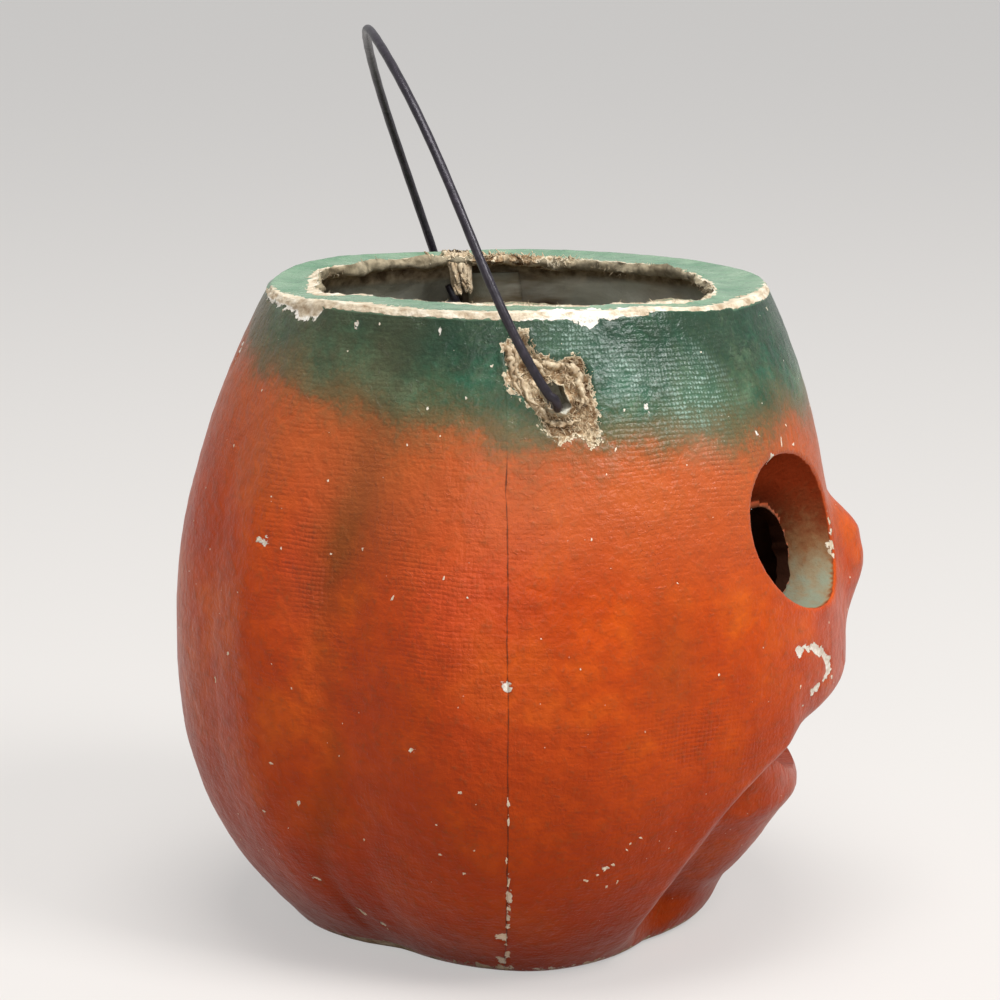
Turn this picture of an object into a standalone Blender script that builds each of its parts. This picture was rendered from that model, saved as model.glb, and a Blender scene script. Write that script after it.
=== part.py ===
"""A papier-mache jack-o'-lantern: two moulded pulp halves, glued at a side seam, and a wire bail.

Metres, +Z up. The face looks along -Y. The origin is the centre of the mouth's circle, set down on the
surface that the lantern stands on. Angles round the body are counted from the face, so the side
seams are near 90 degrees and the back is at 180. Left is -X.
"""

import math

import bmesh
import bpy
from mathutils import Matrix, Vector

# The body, from its base to the rim
HEIGHT = 0.1188
BELLY_HEIGHT = 0.058
BELLY_BACK = 0.0633
BELLY_SIDE = 0.0622
BELLY_FACE = 0.0610
BASE_BACK = 0.0404
BASE_SIDE = 0.0380
BASE_FACE = 0.0339
RIM_RADIUS = 0.0454
SHOULDER_POWER = 1.85
FOOT_POWER = 2.75
SEAM_OFFSET = 0.0033  # the seam lies this far behind the mouth's centre
SEAM_GAP = 0.0003
WALL = 0.0032
BASE_THICKNESS = 0.0034
FELT_REACH = 0.0022  # the felted inner side rounds over any detail smaller than this

# The turned-in rim
MOUTH_RADIUS = 0.0348
FLANGE_THICKNESS = 0.0030
RIM_ROUND = 0.0008

# Valleys between the pumpkin's lobes
BELLY_VALLEYS = ((122.0, 21.0, 0.0048), (153.0, 14.0, 0.0012), (62.0, 18.0, 0.0012))  # angle, width, depth
BASE_VALLEYS = ((131.0, 42.0, 0.0066), (44.0, 42.0, 0.0056))
VALLEY_ROUND = 0.10  # how blunt a valley is, as a share of its width
VALLEY_POWER = 1.3

# The nose, a blunt wedge between the eyes
NOSE_HEIGHT = 0.0048
NOSE_TOP = 0.0811
NOSE_BOTTOM = 0.0545
NOSE_WIDTH = 0.0088
NOSE_BRIDGE_WIDTH = 0.0058
NOSE_TOP_STEP = 0.0087
NOSE_TIP_STEP = 0.0139

# The flattened face and the cheeks
FACE_FLAT_DEPTH = 0.0016
FACE_FLAT_HEIGHT = 0.079
FACE_FLAT_REACH = 0.020
CHEEK_SWELL = 0.0004
CHEEK_HEIGHT = 0.051
CHEEK_ANGLE = 26.0
CHEEK_REACH = 0.011

# The jaw, set back under the cheeks
JAW_ANGLE = 64.0
JAW_TOP = 0.0498
JAW_POWER = 2.4
JAW_DEPTH = 0.0044
JAW_STEP = 0.16  # width of the step round the jaw, as a share of the jaw's size
JAW_FOOT = 0.010  # height over which the set-back fades in from the base
GROOVE_ANGLE = 45.0
GROOVE_WIDTH = 11.0
GROOVE_DEPTH = 0.0042
LIP_SWELL = 0.0010
LIP_HEIGHT = 0.0262
LIP_REACH = 0.0026

# The open mouth
MOUTH_HEIGHT = 0.0333
MOUTH_OPENING = 0.0085
MOUTH_ANGLE = 29.0
SMILE_RISE = 0.0045
MOUTH_CREASE_DEPTH = 0.0035
LOWER_LIP_REACH = 0.0043  # how far down and up from the smile its crease is felt
UPPER_LIP_REACH = 0.0074

# The eyes: a funnel from the outline on the skin to a smaller opening behind it
EYE_ANGLE = 32.0
EYE_HEIGHT = 0.0790
EYE_HALF_ANGLE = 15.3
EYE_HALF_HEIGHT = 0.0130
PUPIL_ANGLE = 33.0
PUPIL_HEIGHT = 0.0745
PUPIL_HALF_ANGLE = 12.6
PUPIL_HALF_HEIGHT = 0.0086
SOCKET_EDGE = 0.0004  # how far outside the skin the funnel starts to narrow
SOCKET_DEPTH = 0.0080
SOCKET_WALL = 0.0028
EYE_SQUARENESS = 2.3

# The bail, and the two holes that it turns in
WIRE = 0.0017
BAIL_HEIGHT = 0.0629
BAIL_LEAN = 23.4
BAIL_BEND = -0.0014  # how far the whole arch bows out of its plane
BAIL_TWIST = 0.0008  # how far its two halves are bent apart
LEFT_LEG_BOW = 0.0022  # how far each leg bows back, a third of the way up
RIGHT_LEG_BOW = -0.0011
LEFT_HOLE_Y = -0.0056
LEFT_HOLE_DROP = 0.0142  # how far a hole's axis lies below the rim
RIGHT_HOLE_Y = 0.0123
RIGHT_HOLE_DROP = 0.0107
LEG_GAP = 0.0014  # between a leg and the wall outside
HOOK_LENGTH = 0.0055
HOOK_GAP = 0.0010  # between a hook and the strips on the wall inside
CORNER_RADIUS = 0.0022
LEFT_TEAR = (0.0031, 0.0040)  # half width and half height of the hole torn wide by the wire
LEFT_TEAR_RISE = 0.0022
RIGHT_HOLE_RADIUS = 0.0022

# The strips glued inside over the seam
STRIP_WIDTH = 0.0100
STRIP_THICKNESS = 0.0009
STRIP_GAP = 0.0003

# How finely the surfaces are divided
FACE_COLUMNS = 42  # across the face, between FACE_EDGE on its two sides
FACE_EDGE = 66.0
CHEEK_COLUMNS = 5  # from there to the seam
BACK_COLUMNS = 32
OUTER_ROWS = 36
INNER_ROWS = 20
BASE_RINGS = (0.38, 0.72)  # rings of the base, as shares of its edge
OUTLINE_POINTS = 28
BEND_POINTS = 4
STRIP_END_POINTS = 7
ARCH_POINTS = 48
CUT_REACH = 0.0065  # how far a cutter runs past both sides of the wall
SOLVER_STEPS = 6
SHARP_ANGLE = 40.0


def smooth(x):
    """0 below 0, 1 above 1, and a smooth step between."""
    x = min(max(x, 0.0), 1.0)
    return x * x * (3.0 - 2.0 * x)


def swell(x):
    """A soft bump: 1 at 0, fading out past 1."""
    return math.exp(-x * x)


def section(angle, back, side, face, valleys):
    """Radius of a level cut through the lobed body, at an angle in degrees from the face."""
    facing = math.cos(math.radians(angle))
    end = face if facing > 0.0 else back
    radius = side + (end - side) * facing * facing
    for place, width, depth in valleys:
        away = math.hypot((angle - place) / width, VALLEY_ROUND)
        radius -= depth * max(0.0, 1.0 - away) ** VALLEY_POWER
    return radius


def lobes(angle, z):
    """Radius of the plain lobed body, without the face."""
    belly = section(angle, BELLY_BACK, BELLY_SIDE, BELLY_FACE, BELLY_VALLEYS)
    if z >= BELLY_HEIGHT:
        end = RIM_RADIUS
        share = (z - BELLY_HEIGHT) / (HEIGHT - BELLY_HEIGHT)
        share = share**SHOULDER_POWER
    else:
        end = section(angle, BASE_BACK, BASE_SIDE, BASE_FACE, BASE_VALLEYS)
        share = (BELLY_HEIGHT - z) / BELLY_HEIGHT
        share = share**FOOT_POWER
    return belly - (belly - end) * share


def mouth_line(angle):
    """Height of the middle of the smile."""
    return MOUTH_HEIGHT + SMILE_RISE * (angle / MOUTH_ANGLE) ** 2


def nose(across, z):
    """How far the nose stands out."""
    share = smooth((z - NOSE_BOTTOM) / (NOSE_TOP - NOSE_BOTTOM))
    width = NOSE_WIDTH + (NOSE_BRIDGE_WIDTH - NOSE_WIDTH) * share
    upper = smooth((NOSE_TOP - z) / NOSE_TOP_STEP)
    lower = smooth((z - NOSE_BOTTOM) / NOSE_TIP_STEP)
    return NOSE_HEIGHT * upper * lower * swell(across / width)


def jaw(angle, z):
    """How far the jaw is set back: the step under the cheeks, the side grooves, the lips."""
    reach = (angle / JAW_ANGLE) ** JAW_POWER + (max(z, 0.0) / JAW_TOP) ** JAW_POWER
    inside = 1.0 - smooth((reach ** (1.0 / JAW_POWER) - 1.0 + JAW_STEP) / JAW_STEP)
    inside *= smooth(z / JAW_FOOT)
    groove = GROOVE_DEPTH * swell((angle - GROOVE_ANGLE) / GROOVE_WIDTH)
    lip = LIP_SWELL * swell((z - LIP_HEIGHT) / LIP_REACH)
    above = z - mouth_line(angle)
    crease = MOUTH_CREASE_DEPTH * swell(above / (UPPER_LIP_REACH if above > 0.0 else LOWER_LIP_REACH))
    crease *= 1.0 - smooth((angle - MOUTH_ANGLE) / GROOVE_WIDTH)
    return -(JAW_DEPTH + groove - lip) * inside - crease


def relief(angle, z):
    """What the face adds to the plain body."""
    across = BELLY_FACE * math.radians(angle)
    flat = swell((z - FACE_FLAT_HEIGHT) / FACE_FLAT_REACH) * swell(angle / EYE_ANGLE)
    cheek = swell((z - CHEEK_HEIGHT) / CHEEK_REACH) * swell((angle - CHEEK_ANGLE) / CHEEK_ANGLE)
    return nose(across, z) + CHEEK_SWELL * cheek - FACE_FLAT_DEPTH * flat + jaw(angle, z)


def outer_radius(angle, z):
    """Radius of the painted skin at an angle in degrees, either way from the face."""
    angle = abs((angle + 180.0) % 360.0 - 180.0)
    return lobes(angle, z) + relief(angle, z)


def inner_radius(angle, z):
    """Radius of the felted inner side, which keeps clear of the skin by a wall and loses fine detail."""
    turn = math.degrees(FELT_REACH / BELLY_SIDE)
    near = [outer_radius(angle, z)]
    near += [outer_radius(angle + side * turn, z) for side in (-1, 1)]
    near += [outer_radius(angle, min(max(z + side * FELT_REACH, 0.0), HEIGHT)) for side in (-1, 1)]
    return min(near) - WALL


def skin_point(angle, z, depth=0.0):
    """A point of the skin, or one sunk below it towards the axis."""
    radius = outer_radius(angle, z) - depth
    turn = math.radians(angle)
    return Vector((-radius * math.sin(turn), -radius * math.cos(turn), z))


def seam_point(turn, z, radius_at, seam_y):
    """The point of a level section in the direction `turn` (degrees) from the seam plane's own centre."""
    direction = Vector((-math.sin(math.radians(turn)), -math.cos(math.radians(turn))))
    centre = Vector((0.0, seam_y))
    reach = BELLY_SIDE
    for _ in range(SOLVER_STEPS):
        place = centre + direction * reach
        angle = math.degrees(math.atan2(-place.x, -place.y))
        along = -centre.dot(direction)
        off = centre.length_squared - along * along
        reach = along + math.sqrt(max(radius_at(angle, z) ** 2 - off, 0.0))
    place = centre + direction * reach
    return Vector((place.x, place.y, z))


def wall_x(radius_at, y, z):
    """Distance of a wall from the plane x = 0, at a place given by y and z."""
    x = BELLY_SIDE
    for _ in range(SOLVER_STEPS):
        x = math.sqrt(radius_at(math.degrees(math.atan2(x, -y)), z) ** 2 - y * y)
    return x


def material(name, colour, roughness, metallic=0.0):
    """A Principled material of one colour."""
    made = bpy.data.materials.new(name)
    made.use_nodes = True
    shader = made.node_tree.nodes["Principled BSDF"]
    shader.inputs["Base Color"].default_value = (*colour, 1.0)
    shader.inputs["Roughness"].default_value = roughness
    shader.inputs["Metallic"].default_value = metallic
    return made


def finish_object(name, shape, look):
    """A smooth-shaded object from a bmesh, with its faces pointing out and none of them warped."""
    bmesh.ops.triangulate(shape, faces=shape.faces)
    bmesh.ops.recalc_face_normals(shape, faces=shape.faces)
    mesh = bpy.data.meshes.new(name)
    shape.to_mesh(mesh)
    shape.free()
    mesh.shade_smooth()
    mesh.set_sharp_from_angle(angle=math.radians(SHARP_ANGLE))
    made = bpy.data.objects.new(name, mesh)
    bpy.context.collection.objects.link(made)
    if look:
        mesh.materials.append(look)
    return made


def join_loops(shape, first, second, closed=True):
    """Quads between two rows of as many vertices."""
    count = len(first)
    for i in range(count if closed else count - 1):
        j = (i + 1) % count
        shape.faces.new((first[i], first[j], second[j], second[i]))


def cap_loop(shape, row):
    """Close a loop with bands across it, so that a cap on a curved surface stays close to it."""
    for i in range(len(row) // 2 - 1):
        shape.faces.new((row[i], row[i + 1], row[-i - 2], row[-i - 1]))


def zip_chains(shape, first, second):
    """Triangles between two chains of vertices, always across the shorter diagonal."""
    i = j = 0
    while i < len(first) - 1 or j < len(second) - 1:
        along_first = j == len(second) - 1
        if not along_first and i < len(first) - 1:
            ahead = (first[i + 1].co - second[j].co).length
            along_first = ahead < (first[i].co - second[j + 1].co).length
        if along_first:
            shape.faces.new((first[i], first[i + 1], second[j]))
            i += 1
        else:
            shape.faces.new((first[i], second[j + 1], second[j]))
            j += 1


def loft(name, loops, look=None):
    """A closed solid through loops of an even number of points, capped at both ends."""
    shape = bmesh.new()
    rows = [[shape.verts.new(point) for point in loop] for loop in loops]
    for first, second in zip(rows, rows[1:]):
        join_loops(shape, first, second)
    cap_loop(shape, rows[0])
    cap_loop(shape, rows[-1])
    return finish_object(name, shape, look)


def apply_boolean(target, cutter, operation):
    """Give the target a Boolean, and keep its cutter out of sight."""
    change = target.modifiers.new(f"{operation} {cutter.name}", "BOOLEAN")
    change.operation = operation
    change.solver = "EXACT"
    change.object = cutter
    cutter.hide_render = True
    cutter.display_type = "WIRE"
    cutter.parent = target


def column_turns(front):
    """Directions of a half's columns of vertices, from seam to seam, finer across the face."""
    if not front:
        return [90.0 + 180.0 * i / BACK_COLUMNS for i in range(BACK_COLUMNS + 1)]
    side = [FACE_EDGE + (90.0 - FACE_EDGE) * i / CHEEK_COLUMNS for i in range(1, CHEEK_COLUMNS + 1)]
    face = [FACE_EDGE * (2.0 * i / FACE_COLUMNS - 1.0) for i in range(FACE_COLUMNS + 1)]
    return [-turn for turn in reversed(side)] + face + side


def shell_half(name, front, look):
    """One moulded half: its base, skin, rim flange and felted inner side, closed along the seam."""
    seam_y = SEAM_OFFSET + (-0.5 if front else 0.5) * SEAM_GAP
    turns = column_turns(front)

    def ring(z, radius_at, share=1.0):
        points = [seam_point(turn, z, radius_at, seam_y) for turn in turns]
        return [Vector((p.x * share, seam_y + (p.y - seam_y) * share, z)) for p in points]

    def level(radius):
        return lambda angle, z: radius

    under_flange = HEIGHT - FLANGE_THICKNESS
    rings = [ring(0.0, outer_radius, share) for share in BASE_RINGS]
    shoulder = HEIGHT - RIM_ROUND
    rings += [ring(shoulder * i / OUTER_ROWS, outer_radius) for i in range(OUTER_ROWS + 1)]
    rings += [ring(HEIGHT, level(RIM_RADIUS - RIM_ROUND)), ring(HEIGHT, level(MOUTH_RADIUS))]
    rings += [ring(under_flange, level(MOUTH_RADIUS))]
    for i in range(INNER_ROWS + 1):
        z = under_flange + (BASE_THICKNESS - under_flange) * i / INNER_ROWS
        rings.append(ring(z, inner_radius))
    rings += [ring(BASE_THICKNESS, inner_radius, share) for share in reversed(BASE_RINGS)]

    shape = bmesh.new()
    bottom = shape.verts.new((0.0, seam_y, 0.0))
    floor = shape.verts.new((0.0, seam_y, BASE_THICKNESS))
    rows = [[shape.verts.new(point) for point in points] for points in rings]
    for first, second in zip(rows, rows[1:]):
        join_loops(shape, first, second, closed=False)
    for pole, row in ((bottom, rows[0]), (floor, rows[-1])):
        for i in range(len(row) - 1):
            shape.faces.new((pole, row[i], row[i + 1]))
    under_mouth = len(BASE_RINGS) + OUTER_ROWS + 4
    for side in (0, -1):
        outer = [bottom] + [row[side] for row in rows[:under_mouth]]
        inner = [floor] + [row[side] for row in reversed(rows[under_mouth:])]
        zip_chains(shape, outer, inner)
    return finish_object(name, shape, look)


def oval_loop(angle, z, half_angle, half_height, depth, squareness=2.0):
    """A loop on the skin, or sunk below it: an oval given in degrees round the body and metres up it."""
    points = []
    for i in range(OUTLINE_POINTS):
        turn = 2.0 * math.pi * (i + 0.5) / OUTLINE_POINTS
        c, s = math.cos(turn), math.sin(turn)
        a = angle + half_angle * math.copysign(abs(c) ** (2.0 / squareness), c)
        b = z + half_height * math.copysign(abs(s) ** (2.0 / squareness), s)
        points.append(skin_point(a, b, depth))
    return points


def eye_loop(side, depth, grow=0.0):
    """The eye's outline at a depth below the skin: wide at the skin, the pupil's at the socket's depth."""
    share = min(max((depth + SOCKET_EDGE) / (SOCKET_DEPTH + SOCKET_EDGE), 0.0), 1.0)

    def mix(a, b):
        return a + (b - a) * share

    wider = math.degrees(grow / BELLY_FACE)
    return oval_loop(
        side * mix(EYE_ANGLE, PUPIL_ANGLE),
        mix(EYE_HEIGHT, PUPIL_HEIGHT),
        mix(EYE_HALF_ANGLE, PUPIL_HALF_ANGLE) + wider,
        mix(EYE_HALF_HEIGHT, PUPIL_HALF_HEIGHT) + grow,
        depth,
        EYE_SQUARENESS,
    )


def add_eye(shell, side, label):
    """Mould a funnel-shaped socket into the wall, and open it."""
    within_wall = 0.5 * WALL
    body_depths = (within_wall, 0.5 * SOCKET_DEPTH, SOCKET_DEPTH)
    body = [eye_loop(side, depth, SOCKET_WALL) for depth in body_depths]
    hollow_depths = (-CUT_REACH, -SOCKET_EDGE, 0.5 * SOCKET_DEPTH, SOCKET_DEPTH, SOCKET_DEPTH + CUT_REACH)
    hollow = [eye_loop(side, depth) for depth in hollow_depths]
    apply_boolean(shell, loft(f"{label}_socket_body", body), "UNION")
    apply_boolean(shell, loft(f"{label}_socket_hollow", hollow), "DIFFERENCE")


def add_mouth(shell):
    """Cut the smile through the wall."""

    def lip_loop(depth):
        points = []
        for i in range(OUTLINE_POINTS):
            turn = 2.0 * math.pi * (i + 0.5) / OUTLINE_POINTS
            angle = MOUTH_ANGLE * math.cos(turn)
            z = mouth_line(angle) + 0.5 * MOUTH_OPENING * math.sin(turn)
            points.append(skin_point(angle, z, depth))
        return points

    loops = [lip_loop(-CUT_REACH), lip_loop(WALL + CUT_REACH)]
    apply_boolean(shell, loft("mouth_cut", loops), "DIFFERENCE")


def hinge_ends():
    """Where the bail's legs meet its turning axis, outside the two walls."""
    ends = []
    for side, y, drop in ((-1, LEFT_HOLE_Y, LEFT_HOLE_DROP), (1, RIGHT_HOLE_Y, RIGHT_HOLE_DROP)):
        z = HEIGHT - drop
        x = wall_x(outer_radius, y, z) + LEG_GAP + 0.5 * WIRE
        ends.append(Vector((side * x, y, z)))
    return ends


def hinge_frame():
    """The bail's own frame at rest: X along its turning axis, Z up its leaning arch."""
    left, right = hinge_ends()
    along = (right - left).normalized()
    level_back = Vector((0.0, 0.0, 1.0)).cross(along).normalized()
    upright = along.cross(level_back)
    lean = math.radians(BAIL_LEAN)
    up = upright * math.cos(lean) + level_back * math.sin(lean)
    out = up.cross(along)
    turn = Matrix((along, out, up)).transposed().to_4x4()
    return Matrix.Translation((left + right) / 2.0) @ turn


def cut_bail_hole(shell, side, half_width, half_height, rise):
    """Cut a hole through one wall, along the turning axis."""
    frame = hinge_frame()
    left, right = hinge_ends()
    half_span = (right - left).length / 2.0
    loops = []
    for x in (half_span + CUT_REACH, half_span - LEG_GAP - WIRE - WALL - CUT_REACH):
        points = []
        for i in range(OUTLINE_POINTS // 2):
            turn = 4.0 * math.pi * (i + 0.5) / OUTLINE_POINTS
            local = Vector((side * x, half_width * math.cos(turn), half_height * math.sin(turn)))
            points.append(frame @ local + Vector((0.0, 0.0, rise)))
        loops.append(points)
    apply_boolean(shell, loft(f"{shell.name}_bail_hole", loops), "DIFFERENCE")


def seam_strip(name, side, look):
    """A pulp strip that follows the inner wall up over the side seam."""
    low = BASE_THICKNESS + STRIP_GAP + STRIP_THICKNESS + STRIP_GAP
    high = HEIGHT - FLANGE_THICKNESS - STRIP_GAP
    loops = []
    for i in range(INNER_ROWS + 1):
        z = low + (high - low) * i / INNER_ROWS
        loop = []
        for depth, order in ((STRIP_GAP, (-1, 0, 1)), (STRIP_GAP + STRIP_THICKNESS, (1, 0, -1))):
            for share in order:
                y = SEAM_OFFSET + share * STRIP_WIDTH / 2.0
                x = wall_x(inner_radius, y, z) - depth
                loop.append(Vector((side * x, y, z)))
        loops.append(loop)
    return loft(name, loops, look)


def base_strip(name, look):
    """The strip over the seam in the base, rounded at its ends."""
    reach = wall_x(inner_radius, SEAM_OFFSET, BASE_THICKNESS) - 2.0 * STRIP_THICKNESS - STRIP_GAP
    half = STRIP_WIDTH / 2.0
    straight = reach - half
    outline = []
    for side in (1, -1):
        for i in range(STRIP_END_POINTS):
            turn = math.pi * (i / (STRIP_END_POINTS - 1) - 0.5)
            x = side * (straight + half * math.cos(turn))
            outline.append((x, SEAM_OFFSET + side * half * math.sin(turn)))
    heights = (BASE_THICKNESS + STRIP_GAP, BASE_THICKNESS + STRIP_GAP + STRIP_THICKNESS)
    return loft(name, [[Vector((x, y, z)) for x, y in outline] for z in heights], look)


def hook_and_corner(side, half_span, hook_x):
    """The wire's end, from the tip of its hook, through the wall, to the foot of its leg."""
    points = [(side * hook_x, HOOK_LENGTH)]
    for centre_x, start in ((hook_x + CORNER_RADIUS, 180.0), (half_span - CORNER_RADIUS, 270.0)):
        for i in range(BEND_POINTS):
            turn = math.radians(start + 90.0 * i / (BEND_POINTS - 1))
            x = centre_x + CORNER_RADIUS * math.cos(turn)
            points.append((side * x, CORNER_RADIUS + CORNER_RADIUS * math.sin(turn)))
    return points


def arch_bow(across, rise):
    """How far the bent arch stands back from its own plane: the whole, its two halves, and its legs."""
    leg = RIGHT_LEG_BOW if across > 0.0 else LEFT_LEG_BOW
    third_up = 6.75 * rise * (1.0 - rise) ** 2  # 1 a third of the way up, 0 at the foot and the top
    halves = -BAIL_TWIST * math.sin(math.pi * across) * smooth(2.0 * rise)
    return BAIL_BEND * smooth(rise) + halves + leg * third_up


def bail_points():
    """The bail's centre line in its own frame: hook, leg, arch, leg and hook."""
    left, right = hinge_ends()
    half_span = (right - left).length / 2.0
    hooks = []
    lining = STRIP_GAP + STRIP_THICKNESS + HOOK_GAP
    for y, drop in ((LEFT_HOLE_Y, LEFT_HOLE_DROP), (RIGHT_HOLE_Y, RIGHT_HOLE_DROP)):
        z = HEIGHT - drop
        inside = wall_x(inner_radius, y, min(z + HOOK_LENGTH, HEIGHT)) - lining - 0.5 * WIRE
        outside = wall_x(outer_radius, y, z) + LEG_GAP + 0.5 * WIRE
        hooks.append(half_span - (outside - inside))
    start = math.asin(CORNER_RADIUS / BAIL_HEIGHT)
    arch = []
    for i in range(1, ARCH_POINTS):
        turn = math.pi - start - (math.pi - 2.0 * start) * i / ARCH_POINTS
        arch.append((half_span * math.cos(turn), BAIL_HEIGHT * math.sin(turn)))
    points = [Vector((x, 0.0, z)) for x, z in hook_and_corner(-1, half_span, hooks[0])]
    points += [Vector((x, arch_bow(x / half_span, z / BAIL_HEIGHT), z)) for x, z in arch]
    points += [Vector((x, 0.0, z)) for x, z in reversed(hook_and_corner(1, half_span, hooks[1]))]
    return points


def make_bail(look):
    """The bail: one bent wire, whose origin and local X lie on its turning axis."""
    curve = bpy.data.curves.new("bail_wire", "CURVE")
    curve.dimensions = "3D"
    curve.bevel_depth = 0.5 * WIRE
    curve.bevel_resolution = 2
    curve.use_fill_caps = True
    points = bail_points()
    line = curve.splines.new("POLY")
    line.points.add(len(points) - 1)
    for place, point in zip(line.points, points):
        place.co = (*point, 1.0)
    curve.materials.append(look)
    bail = bpy.data.objects.new("bail_wire", curve)
    bail.matrix_world = hinge_frame()
    bpy.context.collection.objects.link(bail)
    return bail


def main():
    for old in list(bpy.data.objects):
        bpy.data.objects.remove(old, do_unlink=True)

    orange = (0.58, 0.085, 0.018)
    pulp = (0.36, 0.27, 0.17)
    front = shell_half("front_shell", True, material("front_paint", orange, 0.45))
    back = shell_half("back_shell", False, material("back_paint", orange, 0.45))
    add_eye(front, 1, "left_eye")
    add_eye(front, -1, "right_eye")
    add_mouth(front)
    cut_bail_hole(front, -1, *LEFT_TEAR, LEFT_TEAR_RISE)
    cut_bail_hole(back, 1, RIGHT_HOLE_RADIUS, RIGHT_HOLE_RADIUS, 0.0)

    seam_strip("seam_strip_left", -1, material("left_strip_pulp", pulp, 0.9))
    seam_strip("seam_strip_right", 1, material("right_strip_pulp", pulp, 0.9))
    base_strip("seam_strip_base", material("base_strip_pulp", pulp, 0.9))
    make_bail(material("black_wire", (0.02, 0.018, 0.022), 0.4, 0.6))


main()
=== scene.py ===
"""Looks of the papier-mache jack-o-lantern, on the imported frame.

Lengths in the shape functions are millimetres, and angles are degrees round the body from the face,
positive towards -X. Meshes are scaled to metres when they are made.
"""
import itertools
import math
import random

import bmesh
import bpy
import numpy as np
from mathutils import Matrix, Vector
from mathutils.bvhtree import BVHTree


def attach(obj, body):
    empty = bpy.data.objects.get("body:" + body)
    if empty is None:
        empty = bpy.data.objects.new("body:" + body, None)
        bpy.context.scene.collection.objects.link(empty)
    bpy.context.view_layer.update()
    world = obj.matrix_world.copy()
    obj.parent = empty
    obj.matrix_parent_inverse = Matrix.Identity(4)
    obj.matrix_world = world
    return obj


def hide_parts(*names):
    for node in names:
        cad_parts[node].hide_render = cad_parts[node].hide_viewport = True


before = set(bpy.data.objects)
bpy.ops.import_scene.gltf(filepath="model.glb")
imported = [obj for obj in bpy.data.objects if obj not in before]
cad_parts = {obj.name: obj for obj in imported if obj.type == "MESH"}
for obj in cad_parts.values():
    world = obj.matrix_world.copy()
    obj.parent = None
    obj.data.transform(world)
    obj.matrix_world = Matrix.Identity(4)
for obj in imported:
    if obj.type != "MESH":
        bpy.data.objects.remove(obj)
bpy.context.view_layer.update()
MM = 0.001

# The body's shape, as the frame has it
HEIGHT, BELLY_HEIGHT = 118.8, 58
BELLY = (63.3, 62.2, 61)
BASE = (40.4, 38, 33.9)
RIM_RADIUS, RIM_ROUND, FLANGE_THICKNESS = 45.4, 0.8, 3
WALL, BASE_THICKNESS, FELT_REACH, FOOT_ROUND = 3.2, 3.4, 2.2, 1.3
SEAM_OFFSET, SEAM_GAP = 3.3, 0.3
BELLY_VALLEYS = ((122, 21, 4.8), (153, 14, 1.2), (62, 18, 1.2))
BASE_VALLEYS = ((131, 42, 6.6), (44, 42, 5.6))
MOUTH_ANGLE, MOUTH_OPENING = 29, 8.5
EYE = (30.7, 78.6, 16.8, 13.6)
PUPIL = (32.4, 74.6, 12.6, 8.8)
EYE_TILT, SQUARENESS = 0.20, 2.08
SIDE_RADIUS, FACE_RADIUS = BELLY[1:]

# The bail: y and z of its holes, its wire, and the gap from its legs to the wall
HOLES = ((-5.6, 104.6), (12.3, 108.1))
WIRE_RADIUS, LEG_GAP, ARCH, LEAN = 0.85, 1.4, 62.9, 23.4
# Its ends turn up in two bends, clear of the strip with its glue
BEND, HOOK, STRIP_STACK = 2.2, 5.5, 0.3 + 0.9 + 1.0

# Rows of vertices of each part of a shell, and its columns
COLUMNS = 270
BASE_ROWS, FOOT_ROWS, SIDE_ROWS, ROUND_ROWS, TOP_ROWS, UNDER_ROWS, INNER_ROWS = 20, 6, 177, 5, 14, 7, 79

# Millimetres of skin to a radian, where the places of paint and of torn paper were read
PAINT_RADIUS, TEAR_RADIUS = 58, 57

# The torn inner edge of the turned-in rim: angle and radius
MOUTH_EDGE = (
    (159, 36.6), (150, 31.2), (133, 30.4), (112, 30), (91, 31), (80, 33.2), (69, 34.4), (53, 35.2),
    (39, 36.8), (31, 37.4), (15, 35.4), (-7, 33.4), (-21, 33.8), (-34, 34.3), (-42, 32.6), (-58, 31.4),
    (-76, 31.3), (-88, 33.4), (-108, 37.4), (-121, 38.4), (-131, 38.2), (-145, 36.9), (-152, 38.6),
    (-176, 36.2),
)


def smooth(x, start=0, width=1):
    """0 at the start and 1 a width further on, with soft ends. It falls where the width is negative."""
    x = np.clip((x - start) / width, 0, 1)
    return x * x * (3 - 2 * x)


def swell(x, middle=0, width=1):
    """1 in the middle, and less on both sides of it."""
    x = (x - middle) / width
    return np.exp(-x * x)


def level(angle):
    """The same angle between -180 and 180."""
    return (angle + 180) % 360 - 180


def up(z):
    """A vector straight up."""
    return Vector((0, 0, z))


def section(angle, sizes, valleys):
    """Radius of a level section with its back, side and face radii and the valleys between its lobes."""
    back, side, face = sizes
    facing = np.cos(np.radians(angle))
    end = np.where(facing > 0, face, back)
    radius = side + (end - side) * facing * facing
    for place, width, depth in valleys:
        away = np.hypot((angle - place) / width, 0.10)
        radius = radius - depth * np.maximum(0, 1 - away) ** 1.3
    return radius


def lobes(angle, z):
    belly = section(angle, BELLY, BELLY_VALLEYS)
    foot = section(angle, BASE, BASE_VALLEYS)
    high = np.clip((z - BELLY_HEIGHT) / (HEIGHT - BELLY_HEIGHT), 0, 1.2) ** 1.85
    low = np.clip((BELLY_HEIGHT - z) / BELLY_HEIGHT, 0, 1.2) ** 2.75
    return np.where(z >= BELLY_HEIGHT, belly - (belly - RIM_RADIUS) * high, belly - (belly - foot) * low)


def mouth_line(angle):
    return 33.3 + 4.5 * (angle / MOUTH_ANGLE) ** 2


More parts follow.
